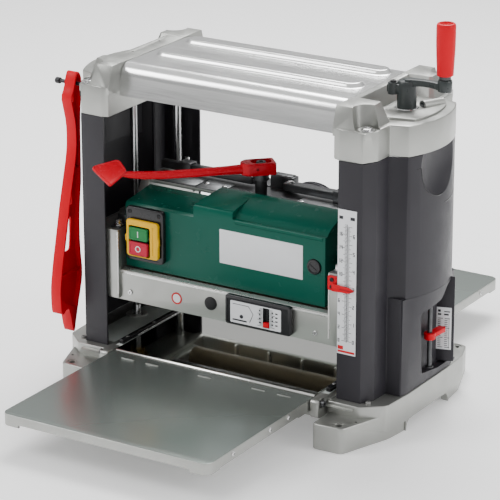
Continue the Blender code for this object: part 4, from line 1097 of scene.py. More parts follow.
def carriage_fittings():
    """Brackets, bolts, deck plates and the front wall's plug."""
    brackets = [box((-0.1765, -0.03, 0.2938), (0.1765, 0.066, 0.2943), 0)]
    for x in (-0.191, 0.1875):
        brackets.append(box((x - 0.0075, -0.1165, 0.2402), (x + 0.0075, -0.096, 0.2424), 0.0005))
        brackets.append(box((x - 0.0075, -0.098, 0.2402), (x + 0.0075, -0.0955, 0.256), 0.0005))
    for left, right in ((-0.179, -0.105), (-0.044, 0.032), (0.072, 0.17)):
        brackets.append(box((left, 0.029, 0.294), (right, 0.06, 0.2962), 0.0006))
    brackets.append(box((-0.01, 0.029, 0.2941), (0.03, 0.046, 0.314), 0.0016, 3))
    brackets.append(box((-0.006, 0.031, 0.314), (0.026, 0.044, 0.3152), 0.0006))
    for x in (-0.15, 0.12):
        brackets.append(box((x - 0.011, 0.0095, 0.2941), (x + 0.011, 0.0125, 0.313), 0.0008))
        brackets.append(box((x - 0.011, 0.0255, 0.2941), (x + 0.011, 0.0285, 0.313), 0.0008))
        brackets.append(box((x - 0.011, 0.0095, 0.3112), (x + 0.011, 0.0285, 0.3136), 0.0008))
    piece("deck_brackets", "carriage", "dark_steel", *brackets)
    plates = [box((-0.103, -0.029, 0.2939), (-0.058, 0.008, 0.2958), 0.0006),
              box((0.06, -0.029, 0.2939), (0.174, 0.007, 0.2958), 0.0006),
              box((-0.176, -0.027, 0.2939), (-0.108, 0.008, 0.2954), 0.0006)]
    piece("deck_plates", "carriage", "galvanised", *plates, slot="cast_aluminium")
    bolts = []
    for x, y, z in ((-0.096, -0.011, 0.2957), (-0.065, -0.011, 0.2957), (0.068, -0.011, 0.2957),
                    (0.166, -0.011, 0.2957), (-0.166, 0.044, 0.2961), (-0.118, 0.044, 0.2961),
                    (-0.035, 0.044, 0.2961), (0.023, 0.044, 0.2961), (0.083, 0.044, 0.2961),
                    (0.159, 0.044, 0.2961)):
        bolts.append(cross_screw((x, y, z), UP, 0.0042, 0.0024))
    for x in (-0.191, 0.1875):
        bolts.append(hex_bolt((x, -0.1065, 0.2424), UP, 0.01, 0.009, 0.007))
    for x, z in ((-0.164, 0.144), (0.156, 0.144)):
        bolts.append(hex_socket_screw((x, FRONT, z), FORWARD, 0.0038, 0.0024))
    for sign in BOTH:
        for end in BOTH:
            profile = [(0.008, 0.0), (0.0104, 0.0), (0.0104, 0.0042), (0.0095, 0.005), (0.008, 0.005)]
            bolts.append(turned(profile, (sign * COLUMN[0], end * COLUMN[1], 0.229), UP, 40, closed=True))
    for x in (-0.191, 0.187):
        for y in (0.08, 0.1):
            bolts.append(hex_socket_screw((x, y - 0.02, DECK_Z), UP, 0.004, 0.0036))
    piece("carriage_bolts", "carriage", "bright_screw", *bolts)
    plug = turned([(0, 0), (0.0102, 0), (0.0102, 0.0012), (0.0085, 0.0032), (0.005, 0.0046), (0, 0.005)],
                  (-0.022, FRONT, 0.154), FORWARD, 40)
    sleeve = [(0.0062, 0.0), (0.01, 0.0), (0.01, 0.002), (0.0085, 0.0028), (0.0062, 0.0028)]
    ring = turned(sleeve, (0.1925, MOTOR_Y, MOTOR_Z), ACROSS, 28, closed=True)
    piece("front_wall_plug", "carriage", "rubber", plug)
    sticker = disc((-0.0815, FRONT - 0.0001, 0.1503), FORWARD, 0.0092, 0.0003, 48)
    circle = disc((-0.0815, FRONT - 0.0001, 0.1503), FORWARD, 0.0092, 0.0005, 48, 0.0068)
    piece("plain_sticker", "carriage", "white", sticker)
    piece("plain_sticker_ring", "carriage", "red_ink", circle)
    piece("motor_bearing_ring", "carriage", "dark_steel", moved(ring, Matrix.Translation((0.0042, 0, 0))))


# ---------------------------------------------------------------- motor, belt and cutter

def motor_cover():
    """The green hood: low on the left, high on the right with a scalloped front edge and a ridge."""
    left, right = -0.1815, 0.162
    front, back, bottom = -0.102, -0.036, 0.179
    low = [(front, bottom), (back, bottom), (back, 0.288), (-0.0985, 0.2795), (front, 0.2755)]
    tall = [(front, bottom), (back, bottom), (back, 0.3055), (-0.042, 0.3052), (-0.0945, 0.2965),
            (-0.1, 0.2945), (front, 0.2905)]
    high = prism(tall, -0.064, right, "X", 0.0)
    scallop = [(front - 0.004, 0.2842), (front + 0.006, 0.2842), (-0.0925, 0.288), (-0.085, 0.2925),
               (-0.07, 0.2985), (-0.055, 0.3025), (-0.043, 0.306), (-0.043, 0.32), (front - 0.004, 0.32)]
    high = cut(high, prism(scallop, 0.006, right + 0.01, "X", 0.0))
    slope = cut(high, moved(box((-0.05, -0.06, 0.0), (0.0, 0.12, 0.4), 0),
                            pose((-0.063, -0.112, 0), math.radians(-8), "Z")))
    cover = fused(prism(low, left, -0.048, "X", 0.0), slope)
    cover = edged(cover, 0.0052, 4, 30)
    room_low = [(-0.0985, 0.17), (-0.02, 0.17), (-0.02, 0.285), (-0.0965, 0.2735)]
    room_high = [(-0.0985, 0.17), (-0.02, 0.17), (-0.02, 0.301), (-0.042, 0.299), (-0.065, 0.295),
                 (-0.09, 0.284), (-0.0985, 0.28)]
    tools = [prism(room_low, left + 0.003, -0.048, "X", 0.0),
             prism(room_high, -0.05, right - 0.003, "X", 0.0),
             rod((0.14, MOTOR_Y, MOTOR_Z), (0.17, MOTOR_Y, MOTOR_Z), 0.009, 24),
             rod((0.144, front - 0.01, 0.2375), (0.144, front + 0.01, 0.2375), 0.0118, 40)]
    shape = cut(cover, *tools)
    piece("motor_hood", "carriage", "green", shape, stands_for="motor_cover", angle=30)
    ridge = tube([(0.0105, front + 0.0028, 0.2806), (0.1575, front + 0.0028, 0.2806)], 0.004, 24)
    piece("motor_hood_trim", "carriage", "green", ridge)
    plate = prism(rectangle(-0.016, 0.125, 0.214, 0.266, 0.0008, 2),
                  front - 0.0006, front + 0.0002, "Y", 0.0002)
    piece("blank_plate", "carriage", "white", plate)
    cap = turned([(0, -0.004), (0.0112, -0.004), (0.0112, 0.0018), (0.0104, 0.0028), (0.008, 0.003),
                  (0.0076, 0.0022), (0, 0.0022)], (0.144, front, 0.2375), FORWARD, 48)
    cap = cut(cap, moved(box((-0.0065, -0.004, -0.001), (0.0065, -0.0014, 0.001), 0),
                         pose((0.144, front, 0.2375), math.radians(35), "Y")))
    piece("brush_cap_plug", "carriage", "black_gloss", cap, stands_for="brush_cap")


def motor_and_belt():
    can = turned([(0.0066, 0.0), (0.02, 0.0), (0.022, 0.0015), (0.022, 0.023), (0.04, 0.0245),
                  (0.042, 0.0265), (0.042, 0.241), (0.04, 0.243), (0.02, 0.244), (0.02, 0.256),
                  (0.0066, 0.256)],
                 (-0.108, MOTOR_Y, MOTOR_Z), ACROSS, 64, closed=True)
    fins = []
    for k in range(28):
        angle = math.radians(360 / 28 * k)
        fin = box((-0.06, 0.0405, -0.0009), (0.105, 0.042, 0.0009), 0)
        place = pose((0, MOTOR_Y, MOTOR_Z), angle, "X")
        fins.append(moved(fin, place))
    piece("motor_can_body", "carriage", "cast", can, *fins, stands_for="motor_can")
    shaft = rod((-0.06, MOTOR_Y, MOTOR_Z), (0.188, MOTOR_Y, MOTOR_Z), 0.0058, 28, 0.0006)
    pulley = pulley_wheel(0.011, 0.1655, 0.176, MOTOR_Y, MOTOR_Z)
    piece("motor_shaft_and_pulley", "motor_rotor", "ground", shaft, pulley, stands_for="motor_shaft")
    belt = belt_loop((MOTOR_Y, MOTOR_Z), 0.0112, (0.0, CUTTER_Z), 0.0222, 0.1665, 0.175)
    piece("drive_belt_loop", "carriage", "rubber", belt, stands_for="drive_belt")


def pulley_wheel(radius, low, high, y, z):
    """A grooved belt wheel along X."""
    grooves = 3
    pitch = (high - low - 0.002) / grooves
    profile = [(0.0, low), (radius, low), (radius, low + 0.001)]
    for i in range(grooves):
        start = low + 0.001 + i * pitch
        profile += [(radius - 0.001, start + pitch * 0.3), (radius - 0.001, start + pitch * 0.7),
                    (radius, start + pitch)]
    profile += [(radius, high), (0.0, high)]
    return turned(profile, (0, y, z), ACROSS, 40)


def belt_loop(first, radius_a, second, radius_b, low, high):
    """A flat belt round two wheels, with rounded outer edges."""
    def loop(grow, count=21):
        a, b = Vector(first), Vector(second)
        along = b - a
        tilt = math.degrees(math.atan2(along.y, along.x))
        spread = math.degrees(math.acos((radius_a - radius_b) / along.length))
        return (arc(first, radius_a + grow, tilt + spread, tilt + 360 - spread, count)
                + arc(second, radius_b + grow, tilt - spread, tilt + spread, count))
    rings = []
    for x, grow in ((low, 0.0004), (low, 0.003), (low + 0.0006, 0.0034), (high - 0.0006, 0.0034),
                    (high, 0.003), (high, 0.0004)):
        rings.append([(x, y, z) for y, z in loop(grow)])
    rings.append(rings[0])
    return weld(loft(rings, caps=False))


def knives_and_rollers():
    for name, node, end in (("front_knife_blade", "front_knife", -1), ("rear_knife_blade", "rear_knife", 1)):
        edge = [(end * 0.017, 0.1509), (end * 0.0225, 0.1509), (end * 0.024, 0.1535), (end * 0.0236, 0.1539),
                (end * 0.017, 0.1539)]
        blade = prism(edge, -0.167, 0.162, "X", 0.0)
        piece(name, "cutterhead", "ground", blade, stands_for=node)
    for node, end in (("infeed_roller", -1), ("outfeed_roller", 1)):
        y, z = end * ROLLER_Y, ROLLER_Z
        profile = [(0.0, -0.166), (0.0172, -0.166), (0.018, -0.1652), (0.018, 0.16), (0.0172, 0.161),
                   (0.0, 0.161)]
        rubber = turned(profile, (0, y, z), ACROSS, 40)
        piece(f"{node}_cover", node, "roller", rubber, stands_for=node)
        ends = [rod((-0.195, y, z), (-0.166, y, z), 0.006, 24, 0.0005),
                rod((0.161, y, z), (0.195, y, z), 0.006, 24, 0.0005)]
        piece(f"{node}_journals", node, "ground", *ends)
    case = cut(box((-0.1836, -0.08, 0.134), (-0.171, 0.08, 0.172), 0.0018, 3),
               rod((-0.2, 0, CUTTER_Z), (-0.15, 0, CUTTER_Z), 0.0084, 24),
               *[rod((-0.2, y, ROLLER_Z), (-0.15, y, ROLLER_Z), 0.0064, 20) for y in (-ROLLER_Y, ROLLER_Y)])
    screws = [hex_socket_screw((-0.1711, y, z), ACROSS, 0.003, 0.002)
              for y, z in ((-0.074, 0.14), (-0.03, 0.166), (0.03, 0.166), (0.074, 0.14))]
    piece("feed_gearbox_case", "carriage", "cast", case, stands_for="feed_gearbox")
    piece("feed_gearbox_screws", "carriage", "black_screw", *screws)
    hood = arc((0, CUTTER_Z), 0.0305, 12, 168, 33) + arc((0, CUTTER_Z), 0.0285, 168, 12, 33)
    sheet = prism(hood, -0.166, 0.161, "X", 0.0)
    hems = [tube([(x, 0.0295 * math.cos(math.radians(a)), CUTTER_Z + 0.0295 * math.sin(math.radians(a)))
                  for x in (-0.166, 0.161)], 0.0014, 12) for a in (13, 167)]
    piece("chip_hood_sheet", "carriage", "galvanised", sheet, *hems, stands_for="chip_hood")


def chip_outlet():
    low, high = 0.166, 0.276
    mid = (low + high) / 2
    duct = box((-0.056, 0.04, low), (0.056, 0.122, high), 0.004, 4)
    mouth_z = mid - 0.004
    mouth = rod((0, 0.119, mouth_z), (0, 0.147, mouth_z), 0.0535, 72)
    rings = [turned([(0.053, 0.0), (0.0545, 0.0004), (0.0545, 0.0022), (0.053, 0.0026)], (0, y, mouth_z),
                    BACK, 72, closed=True) for y in (0.13, 0.137, 0.1436)]
    shape = cut(fused(duct, mouth), box((-0.053, 0.03, low + 0.003), (0.053, 0.119, high - 0.003), 0),
                rod((0, 0.1, mouth_z), (0, 0.16, mouth_z), 0.05, 72))
    piece("chip_outlet_duct", "carriage", "black", edged(shape, 0.0006, 2, 40), *rings,
          stands_for="chip_outlet")
    screws = [cross_screw((x, 0.122, z), BACK, 0.004, 0.0022)
              for x in (-0.049, 0.049) for z in (0.173, 0.269)]
    piece("chip_outlet_screws", "carriage", "bright_screw", *screws)


carriage()
motor_cover()
motor_and_belt()
knives_and_rollers()
chip_outlet()

# ---------------------------------------------------------------- switch, gauge and height scale

def switch():
    plate = prism(rectangle(-0.1755, -0.1095, 0.1935, 0.2765, 0.007, 6),
                  -0.1108, -0.1023, "Y", 0.0014, 3)
    recess = prism(rectangle(-0.1715, -0.1135, 0.1975, 0.261, 0.005, 5),
                   -0.113, -0.1101, "Y", 0.0)
    piece("switch_plate_body", "carriage", "black_gloss", cut(plate, recess), stands_for="switch_plate")
    screws = [cross_screw((x, -0.1106, 0.269), FORWARD, 0.0034, 0.0016) for x in (-0.168, -0.117)]
    piece("switch_plate_screws", "carriage", "black_screw", *screws)
    outline = rectangle(-0.1705, -0.1145, 0.2015, 0.259, 0.0055, 6)
    rim = prism(outline, -0.1175, -0.1112, "Y", 0.0016, 3)
    tools = [prism(rectangle(-0.166, -0.1285, 0.2035, 0.25, 0.003, 4),
                   -0.13, -0.1, "Y", 0.0),
             box((-0.1245, -0.12, 0.208), (-0.119, -0.1166, 0.252), 0.0008)]
    rim = cut(rim, *tools)
    notches = [box((x0, -0.118, z0), (x1, -0.113, z0 + 0.011), 0.0012)
               for x0, x1, z0 in ((-0.1722, -0.1695, 0.224), (-0.1155, -0.1128, 0.224))]
    piece("switch_frame_rim", "carriage", "yellow", rim, *notches, stands_for="switch_frame")
    for node, material, low, high, slot in (("start_button", "green_button", 0.2285, 0.2475, "green_button"),
                                            ("stop_button", "red_button", 0.205, 0.2255, "red_plastic")):
        key = prism(rectangle(-0.1645, -0.1318, low, high, 0.0025, 4),
                    -0.1205, -0.115, "Y", 0.0013, 3)
        middle = (low + high) / 2
        dish = prism(rectangle(-0.1615, -0.1348, low + 0.003, high - 0.003, 0.002, 4), -0.13, -0.12, "Y", 0.0)
        piece(f"{node}_key", node, material, cut(key, dish), stands_for=node, slot=slot)
        if node == "start_button":
            sign = [box((-0.1489, -0.1204, middle - 0.0048), (-0.1475, -0.1198, middle + 0.0048), 0.0002)]
        else:
            sign = [disc((-0.1482, -0.1199, middle), FORWARD, 0.0047, 0.0005, 40, 0.0034)]
        piece(f"{node}_sign", node, "white", *sign)


def gauge():
    back, face = -0.1187, -0.126
    outline = rectangle(0.008, 0.119, 0.1325, 0.178, 0.005, 6)
    body = prism(outline, -0.1265, back, "Y", 0.0016, 3)
    tools = [prism(rectangle(0.012, 0.115, 0.1355, 0.173, 0.0035, 5),
                   -0.13, -0.1257, "Y", 0.0),
             box((0.0727, -0.13, 0.1385), (0.0833, -0.1215, 0.168), 0)]
    piece("gauge_frame_body", "carriage", "black_gloss", cut(body, *tools), stands_for="gauge_frame")
    label = prism(rectangle(0.017, 0.103, 0.1365, 0.17, 0.002, 4),
                  -0.1261, -0.1256, "Y", 0.0)
    label = cut(label, box((0.0722, -0.13, 0.138), (0.0838, -0.1215, 0.1685), 0))
    piece("gauge_label", "carriage", "white", label)
    marks = []
    for i in range(15):
        z = 0.14 + i * 0.0019
        reach = 0.008 if i % 5 == 0 else 0.0045
        marks.append(mark(0.0715 - reach, 0.0715, z - 0.0003, z + 0.0003, face))
        marks.append(mark(0.0845, 0.0845 + reach, z - 0.0003, z + 0.0003, face))
    outline = [(0.0215, 0.1655), (0.048, 0.1655), (0.056, 0.1545), (0.05, 0.141)]
    for (x0, z0), (x1, z1) in zip(outline, outline[1:]):
        marks.append(tube([(x0, face, z0), (x1, face, z1)], 0.0005, 6))
    marks.append(mark(0.021, 0.045, 0.1402, 0.1424, face))
    marks.append(disc((0.036, face, 0.1475), FORWARD, 0.003, 0.0003, 24))
    for i in range(4):
        z = 0.145 + i * 0.006
        for tip, root in ((0.07, 0.066), (0.086, 0.09)):
            wedge = [(tip, z), (root, z - 0.0016), (root, z + 0.0016)]
            marks.append(prism(wedge, face - 0.0003, face, "Y", 0.0))
        marks.append(mark(0.0935, 0.0975, z - 0.001, z + 0.001, face))
    piece("gauge_marks", "carriage", "ink", *marks)
    pointer = prism(rectangle(0.0731, 0.0829, 0.1389, 0.146, 0.0012, 4),
                    -0.1275, -0.122, "Y", 0.0007, 3)
    piece("gauge_pointer_tab", "gauge_pointer", "red", pointer, stands_for="gauge_pointer")


DIGITS = {
    "0": "abcdef", "1": "bc", "2": "abged", "3": "abgcd", "4": "fgbc", "5": "afgcd", "6": "afgedc",
    "7": "abc", "8": "abcdefg", "9": "abfgcd",
}


def digits(text, x, y, z, height):
    """Plain seven-stroke figures facing -Y, from the left edge x and the middle height z."""
    shapes = []
    width, stroke = height * 0.5, height * 0.13
    for n, figure in enumerate(text):
        left = x + n * height * 0.72
        low, high = z - height / 2, z + height / 2
        strokes = {
            "a": (left, high - stroke, left + width, high),
            "g": (left, z - stroke / 2, left + width, z + stroke / 2),
            "d": (left, low, left + width, low + stroke), "f": (left, z, left + stroke, high),
            "e": (left, low, left + stroke, z), "b": (left + width - stroke, z, left + width, high),
            "c": (left + width - stroke, low, left + width, z),
        }
        for key in DIGITS[figure]:
            x0, z0, x1, z1 = strokes[key]
            shapes.append(mark(x0, x1, z0, z1, y))
    return shapes


def height_scale():
    front = -0.1323
    label = box((0.1998, front, 0.1275), (0.2298, front + 0.0009, 0.344), 0.0002)
    piece("height_scale_film", "frame", "white", label, stands_for="height_scale")
    marks = []
    for i in range(88):
        z = 0.148 + i * 0.002
        reach = 0.0075 if i % 10 == 0 else 0.0055 if i % 5 == 0 else 0.0035
        marks.append(mark(0.2148 - reach, 0.2148, z - 0.00025, z + 0.00025, front))
    for i in range(105):
        z = 0.148 + i * 0.00165
        reach = 0.0075 if i % 8 == 0 else 0.0052 if i % 4 == 0 else 0.0032
        marks.append(mark(0.2156, 0.2156 + reach, z - 0.00022, z + 0.00022, front))
    marks.append(mark(0.215, 0.2154, 0.146, 0.323, front))
    for i in range(9):
        marks += digits(str(i * 2), 0.2012, front, 0.148 + i * 0.02, 0.0052)
    for i in range(7):
        marks += digits(str(i), 0.2245, front, 0.148 + i * 0.0264, 0.0056)
    marks += [mark(0.202, 0.208, 0.33, 0.3345, front),
              mark(0.22, 0.227, 0.33, 0.3345, front)]
    piece("height_scale_marks", "frame", "ink", *marks)
    band = [mark(0.2012, 0.2284, 0.13, 0.133, front),
            mark(0.2012, 0.21, 0.1345, 0.14, front)]
    piece("height_scale_accents", "frame", "red_ink", *band)


def height_pointer():
    foot = prism(rectangle(0.1775, 0.198, 0.2155, 0.2375, 0.0025, 4),
                 -0.122, -0.1187, "Y", 0.0007, 3)
    neck = box((0.1925, -0.1368, 0.221), (0.1975, -0.12, 0.232), 0.001, 3)
    tongue = rounded([(0.1925, 0.221), (0.22, 0.2222), (0.2288, 0.2262), (0.22, 0.2302), (0.1925, 0.232)],
                     0.0015, 3)
    blade = prism(tongue, -0.1368, -0.1343, "Y", 0.0007, 3)
    hair = box((0.206, -0.1371, 0.226), (0.228, -0.1366, 0.2265), 0)
    piece("height_pointer_body", "carriage", "red", fused(foot, neck, blade), stands_for="height_pointer")
    piece("height_pointer_hair", "carriage", "ink", hair, slot="dark_steel")
    screws = [cross_screw((0.1845, -0.1218, z), FORWARD, 0.0034, 0.0018) for z in (0.221, 0.232)]
    piece("height_pointer_screws", "carriage", "black_screw", *screws)


# ---------------------------------------------------------------- lock lever, crank and screws

LEVER = (-0.005, -0.005)
LEVER_ANGLE = math.radians(-136)
PADDLE_LEAN = (-0.17, 0.2, 0.345)


def lock_lever():
    turn = pose((*LEVER, 0), LEVER_ANGLE, "Z")
    block = prism(rounded([(-0.021, -0.015), (0.022, -0.015), (0.031, -0.006), (0.031, 0.006), (0.022, 0.015),
                           (-0.021, 0.015)], 0.004, 5), 0.3262, 0.345, "Z", 0.002, 3)
    dip = prism(rectangle(-0.0155, 0.0155, -0.0105, 0.0105, 0.01, 8),
                0.3395, 0.36, "Z", 0.0)
    block = cut(block, dip)
    sections = ((0.016, 0.0088, 0.0078, 0.3345), (0.05, 0.0082, 0.0066, 0.334), (0.1, 0.0078, 0.006, 0.3333),
                (0.145, 0.0078, 0.0058, 0.3335), (0.175, 0.0084, 0.0056, 0.335),
                (0.196, 0.01, 0.0044, 0.3375), (0.208, 0.01, 0.003, 0.3395))
    rings = []
    for along, half_width, half_height, middle in sections:
        rings.append([(along, half_width * u, middle + half_height * v) for u, v in
                      arc((0, 0), 1.0, 0, 345, 24)])
    bar = loft(rings)
    outline = rounded([(-0.195, -0.166), (-0.148, -0.189), (-0.149, -0.146), (-0.175, -0.128)], 0.007, 6)
    lean = Matrix(((1, 0, 0, 0), (0, 1, 0, 0), (PADDLE_LEAN[0], PADDLE_LEAN[1], 1, PADDLE_LEAN[2]),
                   (0, 0, 0, 1)))
    paddle = moved(prism(outline, -0.0026, 0.0026, "Z", 0.002, 4), lean)
    ring = moved(tube([(u, v, 0.0016) for u, v in outline], 0.0019, 10, closed=True), lean)
    piece("lock_lever_body", "lock_lever", "red_enamel", moved(block, turn), moved(bar, turn), paddle, ring,
          stands_for="lock_lever", slot="red_paint")
    screw = moved(hex_socket_screw((0.0, 0.0, 0.3394), UP, 0.0075, 0.0052), turn)
    pin = moved(rod((0.008, -0.015, 0.3365), (0.008, 0.015, 0.3365), 0.0026, 20, 0.0004), turn)
    piece("lock_lever_screws", "lock_lever", "black_screw", screw, pin)
    x, y = LEVER
    stem = turned([(0, 0.2944), (0.009, 0.2944), (0.009, 0.316), (0.0112, 0.3162), (0.012, 0.317),
                   (0.012, 0.3262), (0.0114, 0.3271), (0, 0.3271)], (x, y, 0), UP, 40)
    piece("lock_shaft_stem", "lock_lever", "dark_steel", stem, stands_for="lock_shaft")
    for node, low, high in (("left_lock_rod", -0.194, -0.032), ("right_lock_rod", 0.022, 0.194)):
        bar = box((low, 0.013, 0.2985), (high, 0.025, 0.3105), 0.0012, 3)
        inner = high if low < 0 else low
        step = 0.01 if low < 0 else -0.01
        bolt = hex_bolt((inner - step, 0.019, 0.3103), UP, 0.008, 0.0032, 0.0055)
        piece(f"{node}_bar", node, "dark_steel", bar, stands_for=node)
        piece(f"{node}_bolt", node, "bright_screw", bolt, slot="dark_steel")


CRANK_REACH, CRANK_Y = 0.058, 0.0042


def crank():
    angle = math.atan2(CRANK_Y, CRANK_REACH)
    place = pose((SCREW_X, 0, 0), angle, "Z")
    tip = (SCREW_X + CRANK_REACH, CRANK_Y)
    reach = math.hypot(CRANK_REACH, CRANK_Y)
    hub = turned([(0.0064, 0.4628), (0.0128, 0.4628), (0.014, 0.464), (0.014, 0.495), (0.0134, 0.5005),
                  (0.012, 0.5028), (0.0064, 0.5032)], (SCREW_X, 0, 0), UP, 48, closed=True)
    cap = turned([(0, 0.4876), (0.0068, 0.4876), (0.0068, 0.5026), (0.0062, 0.503), (0, 0.503)],
                 (SCREW_X, 0, 0), UP, 32)
    rings = []
    for t in range(9):
        share = t / 8
        along = share * reach
        half_width = 0.0082 - 0.0024 * math.sin(share * math.pi) - 0.0006 * share
        middle = 0.5 + 0.0022 * math.sin(share * math.pi)
        half_height = 0.0058 - 0.0012 * math.sin(share * math.pi)
        section = rectangle(-half_width, half_width, -half_height, half_height, 0.002, 3)
        rings.append([(along, u, middle + v) for u, v in section])
    arm = moved(loft(rings), place)
    boss = turned([(0, 0.4945), (0.0098, 0.4945), (0.0105, 0.4955), (0.0105, 0.5085), (0.0095, 0.511),
                   (0.007, 0.5118), (0, 0.5118)], (*tip, 0), UP, 40)
    ear = turned([(0, 0.4828), (0.0068, 0.4828), (0.0075, 0.4835), (0.0075, 0.4995), (0.0068, 0.5003),
                  (0, 0.5003)],
                 (-0.018, -0.008, 0), UP, 32)
    bridge = box((-0.018, -0.0125, 0.4845), (0.0, -0.0035, 0.4985), 0.001)
    lug = box((-0.0262, -0.0122, 0.4858), (-0.018, -0.004, 0.4975), 0.0012)
    piece("crank_arm_casting", "right_screw", "crank", hub, cap, arm, boss,
          *[moved(s, place) for s in (ear, bridge, lug)], stands_for="crank_arm", angle=40)
    clamp = moved(hex_socket_screw((-0.018, -0.008, 0.5), UP, 0.0042, 0.003), place)
    piece("crank_clamp_screw", "right_screw", "black_screw", clamp)
    pin = turned([(0, 0.4975), (0.0038, 0.4975), (0.0038, 0.5121), (0.0085, 0.5123), (0.0085, 0.5168),
                  (0.0038, 0.5169), (0.0038, 0.588), (0.0034, 0.5886), (0, 0.5886)], (*tip, 0), UP, 28)
    piece("grip_pin_bar", "right_screw", "dark_steel", pin, stands_for="grip_pin")
    profile = [(0.0042, 0.5172), (0.0106, 0.5172), (0.0118, 0.518), (0.0121, 0.5198),
               (0.0122, 0.524), (0.0126, 0.533), (0.0134, 0.548), (0.0139, 0.562), (0.014, 0.58),
               (0.014, 0.587), (0.0136, 0.5906), (0.0126, 0.5924), (0.011, 0.593), (0.0098, 0.5928),
               (0.0092, 0.5918), (0.009, 0.5895), (0.0042, 0.5895)]
    grip = turned(profile, (*tip, 0), UP, 64, closed=True)
    piece("crank_grip_body", "crank_grip", "red", grip, stands_for="crank_grip", angle=40)
    cap = turned([(0, 0.5896), (0.0091, 0.5896), (0.0091, 0.5908), (0.006, 0.591), (0.0055, 0.59), (0, 0.59)],
                 (*tip, 0), UP, 40)
    piece("crank_grip_cap", "crank_grip", "red_enamel", cap)
    profile = [(0.0146, 0.46), (0.0172, 0.46), (0.0172, 0.463), (0.016, 0.464), (0.0146, 0.464)]
    collar = turned(profile, (SCREW_X, 0, 0), UP, 48, closed=True)
    piece("crank_bearing_collar", "frame", "bright_screw", collar)
    start, end = Vector((0.2515, 0.0135, 0.4648)), Vector((0.266, 0.049, 0.463))
    ridge = rod(start, end, 0.0076, 32, 0.0008)
    piece("clamp_ridge", "frame", "cast", ridge)
    along = (start - end).normalized()
    plug = rod(start, start + along * 0.0008, 0.0048, 28, 0.0003)
    piece("clamp_ridge_plug", "frame", "crank", plug)


def threaded(x, low, high, core, crest, pitch, segments=20):
    """A round bar whose thread is a stack of ridges that follow a helix."""
    turns = int((high - low) / pitch)
    steps = turns * segments
    bm = bmesh.new()
    rows = []
    for shift, radius in ((0.0, core), (0.25, crest), (0.5, crest), (0.75, core)):
        row = []
        for i in range(steps + 1):
            angle = 2 * math.pi * i / segments
            z = low + (i / segments + shift * 0.8) * pitch
            row.append(bm.verts.new((x + radius * math.cos(angle), radius * math.sin(angle), min(z, high))))
        rows.append(row)
    for one, other in zip(rows, rows[1:]):
        for i in range(steps):
            bm.faces.new((one[i], one[i + 1], other[i + 1], other[i]))
    for i in range(steps - segments):
        bm.faces.new((rows[3][i], rows[3][i + 1], rows[0][i + 1 + segments], rows[0][i + segments]))
    return to_object(bm)


def lead_screws():
    for node, body, sign, top in (("right_lead_screw", "right_screw", 1, 0.487),
                                  ("left_lead_screw", "left_screw", -1, 0.44)):
        x = sign * SCREW_X
        thread = threaded(x, 0.074, 0.412, 0.005, 0.006, 0.002)
        core = rod((x, 0, 0.07), (x, 0, 0.413), 0.0049, 24)
        low_end = turned([(0, 0.02), (0.0055, 0.02), (0.006, 0.0206), (0.006, 0.073), (0.005, 0.0745),
                          (0, 0.0745)],
                         (x, 0, 0), UP, 32)
        high_end = turned([(0, 0.411), (0.005, 0.411), (0.006, 0.4125), (0.006, top - 0.0006),
                           (0.0054, top), (0, top)], (x, 0, 0), UP, 32)
        piece(f"{node}_bar", body, "ground", thread, core, low_end, high_end, stands_for=node, angle=40)
        nut = turned([(0.0064, 0.1225), (0.0122, 0.1225), (0.0125, 0.1229), (0.0125, 0.1352),
                      (0.0122, 0.1356), (0.0064, 0.1356)], (x, 0, 0), UP, 6, closed=True)
        flange = turned([(0.0064, 0.133), (0.016, 0.133), (0.016, 0.1358), (0.0064, 0.1358)], (x, 0, 0),
                        UP, 40, closed=True)
        side_name = "right" if sign > 0 else "left"
        piece(f"{side_name}_lead_nut_body", "carriage", "brass", nut, flange,
              stands_for=f"{side_name}_lead_nut")


# ---------------------------------------------------------------- push stick and gland

STICK = -0.2705
STICK_HALF = 0.009
HOOK = (-0.104, 0.449)


def smooth_loop(points, rounds=1):
    """Chaikin smoothing of a closed outline."""
    for _ in range(rounds):
        result = []
        for i, here in enumerate(points):
            after = points[(i + 1) % len(points)]
            result.append(tuple(Vector(here) * 0.75 + Vector(after) * 0.25))
            result.append(tuple(Vector(here) * 0.25 + Vector(after) * 0.75))
        points = result
    return points


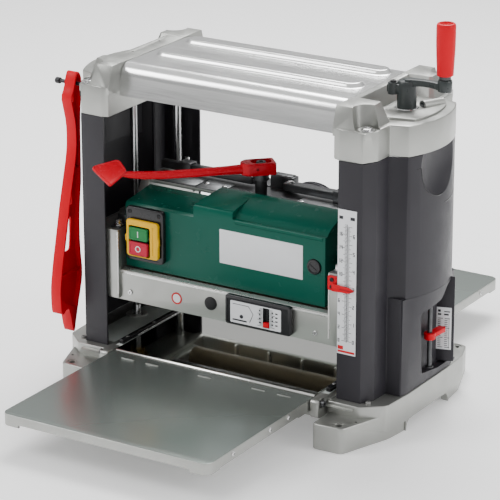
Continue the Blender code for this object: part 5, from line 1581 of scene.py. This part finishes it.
def push_stick():
    outline = [
        (-0.1305, 0.0655), (-0.1262, 0.0655), (-0.1235, 0.078), (-0.119, 0.095), (-0.1144, 0.111),
        (-0.1095, 0.1263), (-0.1052, 0.1411), (-0.1035, 0.1568), (-0.105, 0.1735), (-0.108, 0.2),
        (-0.108, 0.238), (-0.105, 0.269), (-0.101, 0.2993), (-0.1005, 0.34), (-0.1, 0.39),
        (-0.0975, 0.42), (-0.0935, 0.438), (-0.094, 0.454), (-0.099, 0.4655), (-0.105, 0.4675),
        (-0.11, 0.46), (-0.1146, 0.443), (-0.1228, 0.4307), (-0.118, 0.4124), (-0.1118, 0.3887),
        (-0.1108, 0.3611), (-0.114, 0.337), (-0.1232, 0.3031), (-0.132, 0.2732), (-0.139, 0.2436),
        (-0.1459, 0.214), (-0.1532, 0.1844), (-0.159, 0.156), (-0.1612, 0.1391), (-0.1612, 0.122),
        (-0.1597, 0.1025), (-0.1545, 0.1), (-0.1455, 0.106), (-0.139, 0.105),
    ]
    outer, inner = STICK - STICK_HALF, STICK + STICK_HALF
    stick = prism(smooth_loop(outline), outer, inner, "X", 0.0)
    pocket = smooth_loop(inset(outline[3:-4], 0.003))
    tools = [prism(pocket, outer - 0.01, STICK - 0.0015, "X", 0.0),
             prism(pocket, STICK + 0.0015, inner + 0.01, "X", 0.0)]
    wide = [(-0.1375, 0.1965), (-0.1345, 0.193), (-0.1265, 0.1935), (-0.1235, 0.1965), (-0.119, 0.241),
            (-0.1205, 0.2455), (-0.1245, 0.2435), (-0.131, 0.223)]
    tools.append(prism(rounded(wide, 0.003, 3), outer - 0.01, inner + 0.01, "X", 0.0))
    for y, low, high, half in ((-0.1085, 0.4225, 0.429, 0.0036), (-0.1185, 0.2665, 0.28, 0.0032)):
        slot = arc((y, high), half, 0, 180, 9) + arc((y, low), half, 180, 360, 9)
        tools.append(prism(slot, outer - 0.01, inner + 0.01, "X", 0.0))
    tools.append(rod((outer - 0.01, -0.104, 0.4465), (inner + 0.01, -0.104, 0.4465), 0.0059, 32))
    body = edged(cut(stick, *tools), 0.0006, 2, 40)
    ribs = []
    for z, y0, y1 in ((0.16, -0.156, -0.106), (0.32, -0.116, -0.1035), (0.352, -0.109, -0.103)):
        for x0, x1 in ((outer + 0.001, STICK), (STICK, inner - 0.001)):
            ribs.append(box((x0, y0, z - 0.001), (x1, y1, z + 0.001), 0))
    piece("push_stick_body", "push_stick", "red", body, *ribs, stands_for="push_stick", angle=30)
    wall = -0.2512
    hook = rod((wall, *HOOK), (-0.296, *HOOK), 0.003, 24)
    knob = turned([(0, 0.0), (0.0044, 0.0), (0.0048, 0.0006), (0.0048, 0.0066), (0.0042, 0.0075),
                   (0, 0.0075)],
                  (-0.293, *HOOK), (-1, 0, 0), 28)
    plate = prism(rectangle(-0.108, -0.1, 0.431, 0.452, 0.002, 4),
                  -0.256, wall - 0.0001, "X", 0.0006)
    piece("push_stick_hook_rod", "frame", "black_screw", hook, knob, plate, stands_for="push_stick_hook")


def cable_gland():
    """A ribbed strain-relief sleeve on the rear wall."""
    profile = [(0.0, 0.0), (0.0085, 0.0), (0.0085, 0.0008), (0.008, 0.002)]
    for i in range(4):
        start = 0.003 + i * 0.0036
        profile += [(0.0078 - 0.0003 * i, start), (0.0066 - 0.0003 * i, start + 0.0009),
                    (0.0066 - 0.0003 * i, start + 0.0018), (0.0077 - 0.0003 * i, start + 0.0027)]
    profile += [(0.0064, 0.019), (0.0054, 0.02), (0.0036, 0.02), (0.0034, 0.017), (0.0, 0.017)]
    sleeve = turned(profile, (-0.15, 0.1179, 0.145), BACK, 40)
    piece("cable_gland_sleeve", "carriage", "rubber", sleeve, stands_for="cable_gland")


switch()
gauge()
height_scale()
height_pointer()
lock_lever()
crank()
lead_screws()
push_stick()
cable_gland()
